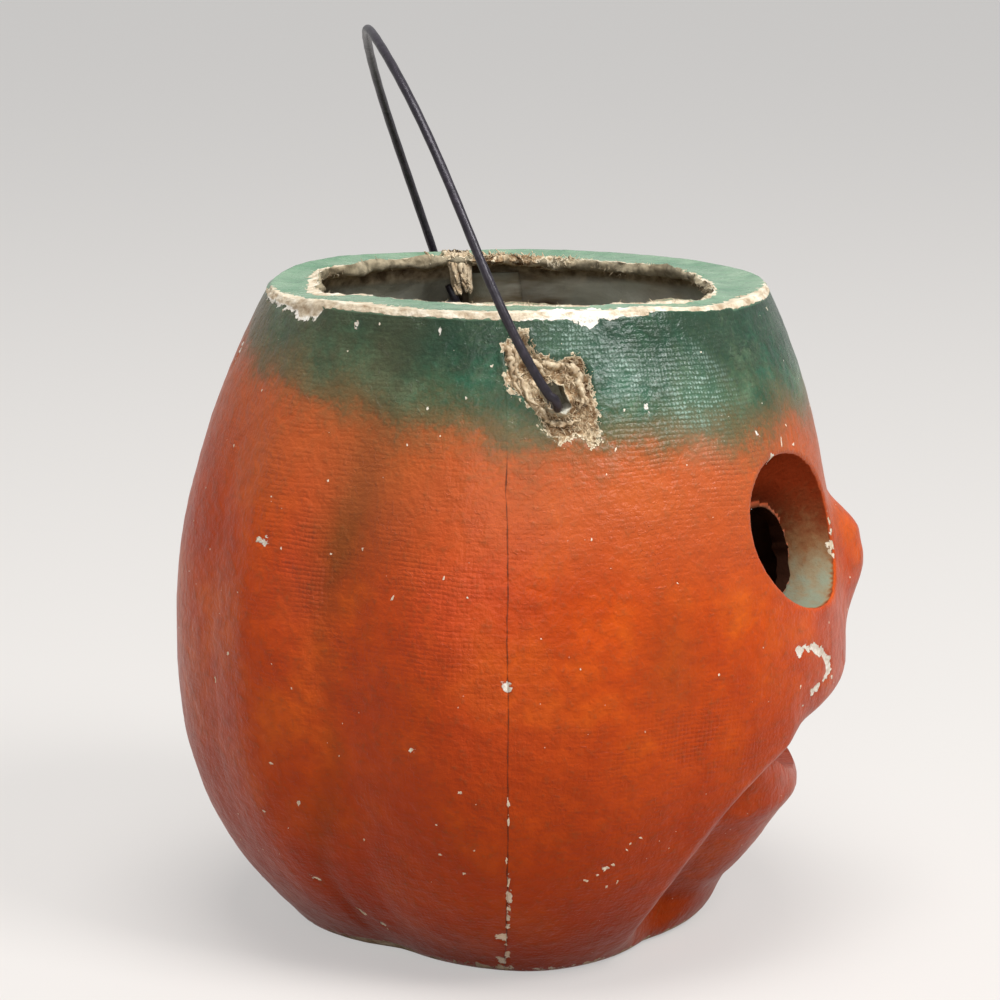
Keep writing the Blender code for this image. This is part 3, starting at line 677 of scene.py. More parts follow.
def weather(obj, front):
    """Wear one half: lumps, folds, torn edges and dents, and the attributes that its paint reads."""
    mesh = obj.data
    p, n = vectors(mesh, "co") / MM, vectors(mesh, "normal")
    skin, eye = read(mesh, "skin"), read(mesh, "eye")
    angle = np.degrees(np.arctan2(-p[:, 0], -p[:, 1]))
    off = np.abs(angle)
    z = p[:, 2].copy()
    radius = np.hypot(p[:, 0], p[:, 1])
    seam = np.abs(p[:, 1] - SEAM_OFFSET)

    # What each place belongs to: the skin (and the mouth's cut edge), the flange, an eye's funnel
    depth = outer_radius(angle, np.clip(z, 0, HEIGHT)) - radius
    lip = front & (off < 35) & (np.abs(z - mouth_line(off)) < 0.56 * MOUTH_OPENING) & (depth < 5)
    skin = np.where(lip & (skin < 0.9), 0.9, skin)
    onskin = smooth(skin, 0.5, 0.4)
    flange = (skin > 0.4) & (z > 116)
    flange &= (radius < RIM_RADIUS - RIM_ROUND + 0.1) | (z - rim_lift(angle) > HEIGHT - RIM_ROUND - 0.01)
    socket = np.where(skin > 0.9, smooth(eye, 1, -0.05), 0)
    plain = 1 - socket

    # Paint: green from the rim down, a haze below it, and painted shade that darkens the valleys
    over = z - periodic(angle, PAINT_LINE) + 4 * fractal(p, 12, 41) + 1.3 * fractal(p, 4, 42)
    green = 0.8 * smooth(over, -6, 18) + 0.2 * smooth(over, 8, 10)
    haze = smooth(over, -28, 24) * (1 - smooth(over / 12))
    valley = off - (125.5 - 5.5 * smooth(z, 70, 24) + 8 * smooth(z, 40, -24))
    valley = valley + 2.5 * fractal(p, 12, 43)
    painted_valley_shade = 0.95 * swell(valley / 7.5) * smooth(z, 58, 32)
    painted_valley_shade = painted_valley_shade + 0.25 * swell(valley / 2.5) * smooth(z / 20)
    painted_valley_shade = painted_valley_shade + 0.35 * swell(off, 66, 5) * swell(z, 62, 10)

    # Bare and chipped places: the band along the rim, its torn inner edge, the tear, the seam, the foot
    band = z - periodic(angle, BAND_FOOT) - rim_lift(angle)
    band = np.where(flange, radius - periodic(angle, BAND_TOP), band)
    band = np.where(z < HEIGHT - 5, -3, band)
    band = band - np.where(flange, 0.6, 0.15) + 0.65 * fractal(p, 3, 63)
    edge = mouth_edge(angle)
    ends = 1.2 * (smooth(off, 140, 20) + 0.9 * swell(angle, -84, 24))
    fringe = np.where(flange, edge + 1.3 + ends + 0.9 * fractal(p, 3, 51) - radius, -3)
    rag = swell(angle, -90, 17) * (z > HEIGHT - 6) * (radius < edge + 4.5)
    rag = rag * smooth(edge + 3.6 + 1.8 * fractal(p, 2.6, 53) - radius, 0, 1.6)
    tear = signed_distance(np.radians(angle) * TEAR_RADIUS, p[:, 2], TEAR_OUTLINE)
    tear = np.where((onskin > 0.5) & (angle > 0), tear, -9)
    worn_seam = 0.35 * swell(seam / 0.4) * smooth(z, 30, -20) * onskin
    foot_edge = 0.58 + 0.5 * fractal(p, 6, 61) + 0.45 * swell(angle, 134, 12)
    foot_edge = swell(z, 0.9, 1.1) * onskin * foot_edge
    spots = np.clip(0.5 + fleck_field(p, angle) / 1.5, 0, 1)
    worn_rim = (np.clip(0.5 + band / 2.8, 0, 1), np.clip(0.5 + fringe / 1.8, 0, 1))
    chip = np.maximum.reduce([*worn_rim, worn_seam, foot_edge, spots]) * onskin
    white = swell(angle, 77, 14) * (0.55 + 0.75 * ~flange) + 0.45 * fractal(p, 3, 64) + 0.08
    white = np.maximum(white, 0.9 * swell(band, 0.2, 0.7) * ~flange)
    by_nose = (off < 16) & (z > 69) & (z < 81)
    white = np.clip(white, 0, 1) * (fringe < -1)
    white = np.maximum(white, np.where(by_nose, 0.1, 0.75) * (spots > 0.3))

    # Dents and swellings along the normal
    shift = np.where(onskin > 0.5, lumps(p) - np.where(flange, 0.08, 0.28), inside_folds(p))
    shift = shift - 0.12 * swell(seam / 0.3) * onskin * smooth(z, 100, -4)
    shift = shift - 0.45 * swell(valley / 2.2) * smooth(z, 84, -14) * smooth(z / 12) * onskin
    crumbs = np.where(flange, 0.14, 0.30) - 0.20 * fractal(p, 2.2, 65) * (z > HEIGHT - 6)
    shift = shift - crumbs * smooth(chip, 0.42, 0.2) * plain
    shift = shift + 0.28 * swell(tear, -0.2, 0.5) * (0.8 + fractal(p, 1.5, 73))
    ripped = 0.75 + 0.5 * fractal(p, 1.6, 71) + 0.35 * noise(p, 0.8, 72) + 0.5 * smooth(tear / 3)
    shift = shift - smooth(tear, -0.1, 0.5) * ripped
    shift = shift + rag * (0.6 * fractal(p, 3.2, 55) + 0.4 * fractal(p, 1.2, 56) + 0.2)
    shift = shift * (0.15 + 0.85 * smooth(z / 3))
    n[seam < 0.2, 1] *= 0.05
    p = p + n * shift[:, None]

    # The rim's inner edge curls and frays, the base stays flat, and both halves meet along one seam
    curl = np.where(flange, smooth(edge + 2.5 - radius, 0, 3), 0)
    p[:, 2] += curl * (0.5 * fractal(p, 6, 81) + 0.45 * fractal(p, 1.8, 82))
    ragged = swell((radius - edge) / 1.3) * (z > HEIGHT - 4)
    ragged = ragged * (0.40 * noise(p, 1.3, 83) + 0.25 * noise(p, 0.6, 84))
    p[:, :2] *= (1 + ragged / np.maximum(radius, 1))[:, None]
    p[:, 2] = np.maximum(p[:, 2], 0.02)
    side = -1 if front else 1
    p[:, 1] = np.where(side * (p[:, 1] - SEAM_OFFSET) < 0.2, SEAM_OFFSET + side * 0.012, p[:, 1])
    wobble = 0.3 * fractal(p * np.array([1, 0, 1]), 7, 86)
    p[:, 1] = p[:, 1] + wobble * swell(seam / 2.5) * smooth(z / 3)
    mesh.vertices.foreach_set("co", (p * MM).astype(np.float32).reshape(-1))

    # Painted shade on the bare inside, behind the face and round the mouth; more is added on the far wall below
    # the rim
    dark = swell((z - mouth_line(off)) / 8) + smooth(z, 36, 12) * smooth(z, 98, -6)
    dark = np.clip(dark, 0, 1) * smooth(off, 72, -8)
    # Painted highlight on the green near the rim
    green_painted_highlight = patches(angle, z, GREEN_PAINTED_HIGHLIGHT)
    # Painted light in patches on the inside wall below the rim
    light = patches(angle, z, INSIDE_PAINTED_LIGHT) + 0.7 * fractal(p, 7, 49)
    woven = 0.30 + patches(angle, z, WEAVE) + patches(off, z, WEAVE_BOTH_SIDES)
    woven = woven * (0.75 + 0.5 * fractal(p, 10, 95)) * plain
    for key, values in {
        "green": green * plain,
        # Painted shade, darker towards the base, where less light falls from above
        "low": (0.5 * smooth(z, 62, -62) + 0.2 * smooth(z, 22, -22)) * onskin,
        "haze": haze * plain,
        # Painted highlight: the rim's flat top in a paler green
        "rim_painted_highlight": flange * onskin,
        "chip": chip,
        "white": white,
        "paint": onskin,
        "tear": np.maximum(np.clip(0.5 + tear / 3, 0, 1), rag),
        "painted_inside_shade": np.maximum(dark, 0.7 * swell(angle, -102, 20) * swell(z, 106, 9)) * (1 - onskin),
        # The inside just below the rim in a darker tan: partly the torn edge's own colour and partly painted
        # shade under the flange
        "edge": smooth(z - HEIGHT + 6, 0, 2) * (1 - onskin),
        "eye": np.where(skin > 0.9, eye, 3),
        "seam": np.clip(1 - seam, 0, 1) * onskin * smooth(z, 101, -5),
        "bare": socket * (1 - smooth(z - 62 + 3 * fractal(p, 5, 45), 0, 27)),
        # Painted shade along the valleys
        "painted_valley_shade": np.clip(painted_valley_shade, 0, 1),
        "olive": smooth(off, 104, 24) * (0.7 + 0.6 * fractal(p, 9, 48)) * onskin,
        "green_painted_highlight": np.clip(green_painted_highlight + 0.35 * fractal(p, 5, 47) * (green_painted_highlight > 0.1), 0, 1),
        "light": np.clip(light, 0, 1) * (1 - onskin) * (z > 90),
        # Painted highlight in pink on two lobes, over a pink tone that varies at random
        "pink_tone_and_painted_highlight": np.clip(patches(angle, z, PINK_PAINTED_HIGHLIGHT) * 0.8 + 0.3 * fractal(p, 18, 91), 0, 1),
        "weave": np.clip(woven, 0, 1.2) * onskin * (z > 3),
        "cloth_u": np.radians(angle) * PAINT_RADIUS + 1.6 * fractal(p, 30, 97) + 0.30 * fractal(p, 4, 99),
        "cloth_v": np.interp(z, *profile(0, HEIGHT, outer_radius, 500))
        + 1.6 * fractal(p, 30, 98)
        + 0.30 * fractal(p, 4, 100),
    }.items():
        write(mesh, key, values)
    mesh.update()
    mesh.shade_smooth()
    mesh.set_sharp_from_angle(angle=math.radians(80))


weather(front_half, True)
weather(back_half, False)


def srgb(r, g, b):
    return tuple(c / 255 / 12.92 if c <= 10.3 else ((c / 255 + 0.055) / 1.055) ** 2.4 for c in (r, g, b))


class Value:
    """A node's output, which adds, subtracts and multiplies as math nodes do."""

    def __init__(self, look, socket):
        self.look, self.socket = look, socket

    def __add__(self, other):
        return self.look.math("ADD", self, other)

    def __sub__(self, other):
        return self.look.math("SUBTRACT", self, other)

    def __rsub__(self, other):
        return self.look.math("SUBTRACT", other, self)

    def __mul__(self, other):
        return self.look.math("MULTIPLY", self, other)


class Look:
    """The nodes of a new material or world: `node` adds one, and values that are outputs are linked."""

    def __init__(self, owner, shader="Principled BSDF"):
        owner.use_nodes = True
        self.owner, self.tree = owner, owner.node_tree
        self.inputs = self.tree.nodes[shader].inputs

    def set(self, socket, value):
        if isinstance(value, Value):
            self.tree.links.new(value.socket, socket)
        elif isinstance(value, (tuple, list)) and len(value) == 3 and socket.type == "RGBA":
            socket.default_value = (*value, 1)
        else:
            socket.default_value = value

    def finish(self, **values):
        """Give values to the shader's inputs, with _ for a space in their names."""
        for key, value in values.items():
            self.set(self.inputs[key.replace("_", " ")], value)

    def node(self, kind, out=0, inputs=None, **settings):
        made = self.tree.nodes.new(kind)
        for key, value in settings.items():
            setattr(made, key, value)
        for key, value in (inputs or {}).items():
            self.set(made.inputs[key], value)
        return Value(self, made.outputs[out])

    def math(self, operation, a, b=0, clamp=False):
        return self.node("ShaderNodeMath", 0, {0: a, 1: b}, operation=operation, use_clamp=clamp)

    def mix(self, share, a, b):
        return self.node("ShaderNodeMix", 2, {0: share, 6: a, 7: b}, data_type="RGBA")

    def layers(self, colour, *rows):
        """Colours laid over one another; a row is a share and three sRGB bytes."""
        for share, *tone in rows:
            colour = self.mix(share, colour, srgb(*tone))
        return colour

    def ramp(self, value, *stops):
        """Colours or greys along a value; a stop is its place, then a grey or three sRGB bytes."""
        made = self.tree.nodes.new("ShaderNodeValToRGB")
        elements = made.color_ramp.elements
        while len(elements) < len(stops):
            elements.new(0.5)
        for element, (place, *tone) in zip(elements, stops):
            element.position = place
            element.color = (*(srgb(*tone) if len(tone) == 3 else tone * 3), 1)
        self.set(made.inputs[0], value)
        return Value(self, made.outputs[0])

    def attribute(self, name):
        return self.node("ShaderNodeAttribute", 2, attribute_name=name)

    def grain(self, size, detail, rough, seed, stretch=None):
        """Noise with features of about `size` millimetres."""
        where = self.node("ShaderNodeTexCoord", 3)
        if stretch:
            where = self.node("ShaderNodeVectorMath", 0, {0: where, 1: stretch}, operation="MULTIPLY")
        inputs = {"Vector": where, "W": seed, "Scale": 1000 / size, "Detail": detail, "Roughness": rough}
        return self.node("ShaderNodeTexNoise", 0, inputs, noise_dimensions="4D")

    def bump(self, height, strength, distance):
        inputs = {"Strength": strength, "Distance": distance * MM, "Height": height}
        return self.node("ShaderNodeBump", 0, inputs)


def painted_pulp():
    look = Look(bpy.data.materials.new("painted_pulp"))
    at, ramp, layers = look.attribute, look.ramp, look.layers
    big = look.grain(16, 3, 0.55, 1)
    patch = look.grain(7, 4, 0.6, 4)
    fine = look.grain(2.2, 4, 0.6, 2)
    speck = look.grain(0.7, 3, 0.6, 3)
    ridge = look.grain(3.2, 2, 0.5, 8)
    notch = look.grain(1.6, 3, 0.6, 9)

    # Orange with its pink and hazy parts, painted highlights and painted shade, and sprayed green that mixes
    # into it
    orange = layers(
        ramp(big, (0.36, 186, 66, 12), (0.50, 202, 78, 14), (0.64, 210, 92, 18)),
        (ramp(patch, (0.40, 0), (0.72, 0.7)), 172, 60, 16),
        # Painted highlight in pink on two lobes, over a pink tone that varies at random
        (at("pink_tone_and_painted_highlight") * 0.8, 204, 76, 44),
        (ramp(fine, (0.42, 0), (0.75, 0.45)), 152, 52, 14),
        # Painted shade along the valleys
        (at("painted_valley_shade") * 0.85, 104, 62, 22),
        (at("haze") * 0.62, 184, 98, 54),
        # Painted shade, darker towards the base
        (at("low"), 132, 42, 6),
    )
    share = at("green") + ((fine - 0.5) * 0.34 + (speck - 0.5) * 0.42)
    green = layers(
        ramp(patch, (0.34, 32, 76, 56), (0.5, 50, 94, 70), (0.64, 90, 120, 92)),
        (ramp(big, (0.42, 0), (0.62, 0.55)), 80, 86, 58),
        (ramp(fine, (0.42, 0), (0.75, 0.7)), 88, 84, 58),
        (ramp(share, (0.78, 0), (1, 0.8)), 30, 58, 44),
        (look.math("MULTIPLY", at("olive"), 0.5, clamp=True), 100, 88, 62),
    )
    dirty = layers(orange, (ramp(share, (0.02, 0), (0.42, 0.95)), 124, 92, 56))
    colour = look.mix(ramp(share, (0.26, 0), (0.72, 1)), dirty, green)
    # Painted highlight: the rim's flat top in a paler, milky green
    colour = look.mix(at("rim_painted_highlight"), colour, ramp(patch, (0.35, 98, 138, 108), (0.65, 138, 166, 138)))

    # The forming screen's weave, and painted highlights on it: paler where its threads would catch the light
    warp, weft = (
        look.math("ABSOLUTE", look.math("SINE", at(key) * (math.pi / pitch)))
        for key, pitch in (("cloth_u", 0.80), ("cloth_v", 0.86))
    )
    threads = warp * 0.38 + weft * 0.62
    weave_painted_highlight = ramp(threads * 0.36 + speck * 0.6 + fine * 0.55, (0.84, 0), (0.98, 1)) * at("green_painted_highlight")
    weave_painted_highlight = weave_painted_highlight * ramp(at("green"), (0.35, 0), (0.7, 0.8))
    colour = layers(colour, (weave_painted_highlight, 164, 190, 178), (at("green_painted_highlight") * 0.22, 112, 150, 130))

    # The seam's line, and the eyes' funnels: worn bare below, a darker red above that is partly painted shade,
    # and more painted shade near the pupil
    line = ramp(at("seam") + (patch - 0.5) * 0.35, (0.70, 0), (0.84, 1))
    line = line * ramp(fine, (0.35, 0.3), (0.55, 0.9))
    socket = ramp(at("eye") + (fine - 0.5) * 0.05, (0.972, 1), (0.986, 0))
    worn = at("bare") + (fine - 0.5) * 0.7
    funnel = ((0.05, 124, 48, 24), (0.35, 116, 58, 34), (0.62, 132, 94, 64), (0.85, 138, 124, 98))
    funnel = ramp(worn, *funnel, (1, 132, 136, 116))
    sheltered = look.math("SUBTRACT", 1, at("bare") * 0.75, clamp=True)
    # Painted shade near the pupil, less over the bare pulp
    funnel = layers(funnel, (ramp(at("eye"), (0.50, 0.85), (0.74, 0)) * sheltered, 46, 22, 14))
    colour = look.mix(socket, layers(colour, (line, 72, 32, 14)), funnel)

    # Chips down to tan pulp and white ground
    nick = at("chip") + (notch - 0.5) * 1.7 + (patch - 0.5) * 0.8
    chipped = ramp(nick * look.math("GREATER_THAN", at("chip"), 0.08), (0.48, 0), (0.53, 1))
    tan = ramp(fine, (0.32, 172, 150, 124), (0.50, 212, 198, 174), (0.68, 236, 228, 212))
    gesso = ramp(speck, (0.3, 222, 214, 198), (0.6, 246, 243, 235))
    pale = ramp(at("white") + (fine - 0.5), (0.35, 0), (0.6, 1))
    colour = look.mix(chipped, colour, look.mix(pale, tan, gesso))

    # Torn paper: tan, its darker patches partly painted shade, and paler at its edge
    rip = (at("tear") + (notch - 0.5) * 2.4) * look.math("GREATER_THAN", at("tear"), 0.08)
    ripped = ramp(rip, (0.49, 0), (0.53, 1))
    torn = ramp(fine, (0.36, 86, 62, 42), (0.50, 162, 134, 102), (0.64, 222, 204, 172))
    torn = layers(torn, (ramp(rip, (0.56, 1), (0.78, 0)), 226, 212, 184))
    colour = look.mix(ripped, colour, torn)

    # Bare pulp inside, with painted light in patches below the rim, and painted shade under the rim, behind the
    # face and round the mouth
    streak = look.grain(9, 4, 0.6, 12, (0.4, 0.4, 1.7))
    bare = layers(
        ramp(streak, (0.38, 108, 88, 68), (0.5, 170, 156, 132), (0.62, 228, 224, 208)),
        (ramp(big, (0.45, 0), (0.58, 0.6)), 164, 172, 158),
        # Painted light in patches below the rim
        (at("light") * 0.8, 236, 238, 224),
    )
    # A darker tan just below the rim: partly the torn edge's own colour and partly painted shade under the
    # flange
    bare = look.mix(at("edge"), bare, ramp(fine, (0.36, 110, 92, 70), (0.64, 196, 178, 148)))
    # Painted shade inside: behind the face, round the mouth and on the far wall below the rim
    bare = layers(bare, (at("painted_inside_shade"), 46, 26, 18))
    painted = at("paint")
    colour = look.mix(look.math("MAXIMUM", painted, ripped), bare, colour)

    raw = look.math("MAXIMUM", look.math("MAXIMUM", chipped, ripped), at("bare"))
    gloss = (painted - socket) * look.math("SUBTRACT", 1, raw, clamp=True)
    rough = 0.88 - gloss * (at("green") * 0.10 + 0.54) + (fine - 0.5) * 0.25
    shine = (at("green") * 0.14 + 0.20) * (1 - at("low"))
    threads = threads * at("weave") * ramp(patch, (0.40, 0.1), (0.58, 1))
    fibre = ramp(look.math("ABSOLUTE", ridge - 0.5), (0, 1), (0.012, 0))
    fibre = fibre * ramp(patch, (0.50, 0), (0.60, 1))
    height = threads * 0.15 + fibre * 0.05 + fine * 0.42 + speck * (raw * 0.25 + 0.12)
    look.finish(
        Base_Color=colour, Roughness=rough, Specular_IOR_Level=gloss * shine, Normal=look.bump(height, 1, 1)
    )
    return look.owner


def plain_look(name, dark, light, size, roughness, metallic=0):
    look = Look(bpy.data.materials.new(name))
    grain = look.grain(size, 4, 0.6, 7)
    colour = look.ramp(grain, (0.3, *dark), (0.7, *light))
    look.finish(Base_Color=colour, Roughness=roughness, Metallic=metallic, Normal=look.bump(grain, 0.5, 0.3))
    return look.owner


paint = painted_pulp()
for half in (front_half, back_half):
    half.data.materials.clear()
    half.data.materials.append(paint)


def bail_path():
    """Centre line of the wire, in millimetres."""
    length, place = hinge()
    span = length / 2

    def hook(side, y, z):
        inside = wall_x(inner_radius, y, min(z + HOOK, HEIGHT)) - STRIP_STACK - WIRE_RADIUS
        hook_x = span - (wall_x(outer_radius, y, z) + LEG_GAP + WIRE_RADIUS - inside)
        points = [Vector((side * hook_x, 0, HOOK))]
        for centre, start in ((hook_x + BEND, 180), (span - BEND, 270)):
            for i in range(9):
                turn = math.radians(start + 90 * i / 8)
                x, z = centre + BEND * math.cos(turn), BEND + BEND * math.sin(turn)
                points.append(Vector((side * x, 0, z)))
        return points

    def bow(across, rise):
        """How far the bent wire stands out of its plane."""
        leg = -1.1 if across > 0 else 2.2
        halves = -0.8 * math.sin(math.pi * across) * float(smooth(2 * rise))
        return -1.4 * float(smooth(rise)) + halves + leg * 6.75 * rise * (1 - rise) ** 2

    start, count = math.asin(BEND / ARCH), 240
    points = hook(-1, *HOLES[0])
    for i in range(1, count):
        turn = math.pi - start - (math.pi - 2 * start) * i / count
        x, z = span * math.cos(turn), ARCH * math.sin(turn)
        points.append(Vector((x, bow(x / span, z / ARCH), z)))
    return [place @ p for p in points + hook(1, *HOLES[1])[::-1]]


def tube(name, path, radius, look, sides=16):
    """A closed tube along a path in millimetres, with a radius for each of its points."""
    p = np.array([tuple(v) for v in path])
    tangent = np.gradient(p, axis=0)
    tangent /= np.linalg.norm(tangent, axis=1)[:, None]
    normal = np.cross(tangent[0], (0.3, 0.5, 0.8))
    turn = 2 * np.pi * np.arange(sides) / sides
    points = []
    for place, along, r in zip(p, tangent, radius):
        normal = normal - along * np.dot(normal, along)
        normal /= np.linalg.norm(normal)
        binormal = np.cross(along, normal)
        points.append(place + r * (np.cos(turn)[:, None] * normal + np.sin(turn)[:, None] * binormal))
    last = (len(p) - 1) * sides
    faces = sleeve(len(p), sides) + [tuple(range(sides)), tuple(range(last, last + sides))]
    return new_mesh(name, np.vstack(points), faces, look=look, is_smooth=True)


wire_look = plain_look("dark_wire", (26, 22, 30), (52, 46, 56), 1.4, 0.34, 0.25)
path = bail_path()
wire = tube("bent_wire", path, 0.81 + 0.015 * np.sin(np.arange(len(path)) * 0.7), wire_look)

# Small pieces that sit on the weathered surface
HALVES = [BVHTree.FromObject(half, bpy.context.evaluated_depsgraph_get()) for half in (front_half, back_half)]


def hit(origin, direction):
    """The nearest place of the surface from an origin in millimetres, and its normal."""
    best = None
    for tree in HALVES:
        place, normal, _, far = tree.ray_cast(Vector(origin) * MM, Vector(direction))
        if place is not None and (best is None or far < best[2]):
            best = (place / MM, normal, far)
    return (best[0], best[1]) if best else (None, None)


def outwards(angle):
    """The level direction out of the body at an angle."""
    turn = math.radians(angle)
    return Vector((-math.sin(turn), -math.cos(turn), 0))


def on_side(angle, z):
    """A place on the outside at an angle and a height, and the normal there."""
    out = outwards(angle)
    return hit(tuple(out * 90 + up(z)), tuple(-out))


def on_top(angle, radius):
    """A place on the top of the rim, and the normal there."""
    turn = math.radians(angle)
    return hit((-radius * math.sin(turn), -radius * math.cos(turn), 130), (0, 0, -1))


class Pile:
    """Vertices and faces of many small closed pieces, gathered into one object."""

    def __init__(self):
        self.points, self.faces = [], []

    def plate(self, outline, lift):
        """A thin irregular plate whose outline is places of the skin with their normals."""
        outline = [o for o in outline if o[0] is not None]
        if len(outline) < 5:
            return
        base, count = len(self.points), len(outline)
        middle = sum((o[0] for o in outline), Vector()) / count
        normal = sum((o[1] for o in outline), Vector()).normalized()
        top = [o[0] + o[1] * lift for o in outline]
        low = [o[0] - o[1] * 0.25 for o in outline]
        self.points += [tuple(v) for v in top + low + [middle + normal * (lift * 1.25), middle - normal * 0.3]]
        for i in range(count):
            j = (i + 1) % count
            self.faces.append((base + i, base + j, base + 2 * count))
            self.faces.append((base + count + j, base + count + i, base + 2 * count + 1))
            self.faces.append((base + i, base + count + i, base + count + j, base + j))

    def strand(self, path, thick, wide, axis=Vector((0.31, 0.52, 0.79))):
        """A tapered ribbon along a few points."""
        base, last = len(self.points), len(path) - 1
        for k, point in enumerate(path):
            ahead = (path[min(k + 1, last)] - path[max(k - 1, 0)]).normalized()
            side = ahead.cross(axis)
            side = side.normalized() if side.length > 1e-6 else Vector((1, 0, 0))
            over = side.cross(ahead)
            taper = 1 - 0.75 * (k / last) ** 2
            for c, d in ((1, 0), (0, 1), (-1, 0), (0, -1)):
                corner = point + side * (c * wide * taper * 0.5) + over * (d * thick * taper * 0.5)
                self.points.append(tuple(corner))
        self.faces += sleeve(last + 1, 4, base)
        self.faces.append((base + 3, base + 2, base + 1, base))
        self.faces.append(tuple(base + 4 * last + i for i in range(4)))

    def make(self, name, look, is_smooth=True):
        return new_mesh(name, self.points, self.faces, look=look, is_smooth=is_smooth)


gesso_look = plain_look("gesso", (222, 206, 180), (240, 234, 220), 0.8, 0.75)
tan_look = plain_look("torn_pulp", (160, 134, 102), (222, 206, 176), 1.1, 0.92)
rng = random.Random(31)


def spread(low, high):
    return low + (high - low) * rng.random()


def speck(pile, angle, z, wide, high, lean=0, lift=0.07):
    """A small irregular fleck on the side, its half sizes in millimetres."""
    count = 13
    outline = []
    for i in range(count):
        turn = 2 * math.pi * i / count
        r = spread(0.5, 1.3)
        x, y = wide * r * math.cos(turn), high * r * math.sin(turn)
        x, y = x * math.cos(lean) - y * math.sin(lean), x * math.sin(lean) + y * math.cos(lean)
        outline.append(on_side(angle + math.degrees(x / PAINT_RADIUS), z + y))
    pile.plate(outline, lift)


flecks = Pile()
for a, h, wide, high, lean in FLECKS:
    if min(wide, high) <= PLATE_SIZE:
        speck(flecks, a, h, wide, high, lean)
for _ in range(260):
    a, h = spread(-180, 180), spread(4, 116)
    size = 0.06 + 0.16 * rng.random() ** 3
    speck(flecks, a, h, size, size * spread(0.6, 1.8), spread(-0.6, 0.6), 0.05)
for _ in range(40):
    a, h = spread(-170, -10), spread(8, 114)
    speck(flecks, a, h, spread(0.3, 0.8), spread(0.3, 0.8), spread(-0.6, 0.6))


def curly(start, direction, normal, length, bend, steps=5):
    """Points of a fibre that leaves a place in a direction and bends."""
    points, where = [start], direction.normalized()
    turn = Vector((spread(-1, 1), spread(-1, 1), spread(-1, 1)))
    for _ in range(steps):
        where = (where + turn * bend + normal * spread(-0.15, 0.25)).normalized()
        points.append(points[-1] + where * (length / steps))
    return points


def torn_fringe():
    """Fibres that stand out of the rim's torn inner edge."""
    pile = Pile()
    for _ in range(3000):
        angle = spread(-180, 180)
        inward = -outwards(angle)
        place, _ = on_top(angle, float(mouth_edge(angle)) + spread(0.1, 0.9))
        if place is None or place.z < 115:
            continue
        start = place - up(spread(0.1, 1.4))
        along = Vector((inward.y, -inward.x, 0)) * spread(-0.8, 0.8)
        lead = inward + along + up(spread(-0.4, 0.25))
        path = curly(start - inward * 0.3, lead, up(-0.3), 0.5 + 0.9 * rng.random() ** 2, 0.5)
        pile.strand(path, spread(0.07, 0.13), spread(0.10, 0.26))
    return pile


def tear_fibres():
    """The frayed paper round the bail's hole."""
    pile = Pile()
    middle, hole = 83.8, 106.2
    centre = (math.radians(middle) * TEAR_RADIUS, 106)
    for _ in range(900):
        i = rng.randrange(len(TEAR_OUTLINE))
        (ax, ay), (bx, by) = TEAR_OUTLINE[i], TEAR_OUTLINE[(i + 1) % len(TEAR_OUTLINE)]
        share, inside = rng.random(), rng.random() ** 0.8 * 0.62
        x, y = ax + (bx - ax) * share, ay + (by - ay) * share
        x, y = x + (centre[0] - x) * inside, y + (centre[1] - y) * inside
        angle = math.degrees(x / TEAR_RADIUS)
        place, normal = on_side(angle, y)
        if place is None or place.x > -30 or math.hypot((angle - middle) / 2.3, (y - hole) / 3.2) < 1:
            continue
        turn = math.radians(angle)
        right = Vector((math.cos(turn), -math.sin(turn), 0))
        way = spread(0, 2 * math.pi)
        lead = right * math.cos(way) + up(math.sin(way)) + normal * spread(0, 0.5)
        path = curly(place, lead, normal * 0.4, spread(0.6, 1.9), 0.6)
        pile.strand(path, spread(0.08, 0.18), spread(0.12, 0.42))
    return pile


def ribbon(pile, stops, wide, thick, lift, wave):
    """A crumpled strip of paper over the skin through stops of angle and height."""
    path = []
    for (a, h), (b, k) in zip(stops, stops[1:]):
        for i in range(6):
            share = i / 6
            aside, above = spread(-0.3, 0.3), spread(-0.15, 0.15)
            place, normal = on_side(a + (b - a) * share + aside, h + (k - h) * share + above)
            if place is not None:
                path.append(place + normal * (lift + wave * rng.random()))
    pile.strand(path, thick, wide, Vector((-1, 0.15, 0)))


rags = tear_fibres()
for stops, *sizes in (
    (((94.2, 114), (93.2, 111.6), (92.4, 108.8), (90.6, 106)), 1.3, 0.35, 0.2, 0.7),
    (((93, 114.4), (92.2, 111), (91, 108.4), (88.6, 104.4), (86.6, 102.6)), 0.9, 0.3, 0.5, 0.8),
    (((90.2, 107), (88.6, 104.8), (86.2, 102.4), (84.4, 101)), 1.5, 0.35, 0.1, 0.6),
    (((89.4, 113), (88.4, 111.4), (87, 110.2), (85.8, 109.2)), 1.5, 0.3, 0.5, 0.9),
    (((86.6, 111.6), (84.6, 111), (82.4, 111.2), (80.4, 110.4)), 1.4, 0.35, 0.1, 0.6),
    (((81, 111.2), (79.4, 109), (78.8, 106.2), (79.6, 103.6)), 1.7, 0.4, 0.2, 0.6),
    (((79.2, 107.4), (78, 105.4), (77.8, 103.2)), 1, 0.3, 0.3, 0.8),
    (((85.6, 102.2), (83.6, 101.4), (81.6, 101.8), (79.6, 102.4)), 1.2, 0.35, 0.3, 0.7),
):
    ribbon(rags, stops, *sizes)


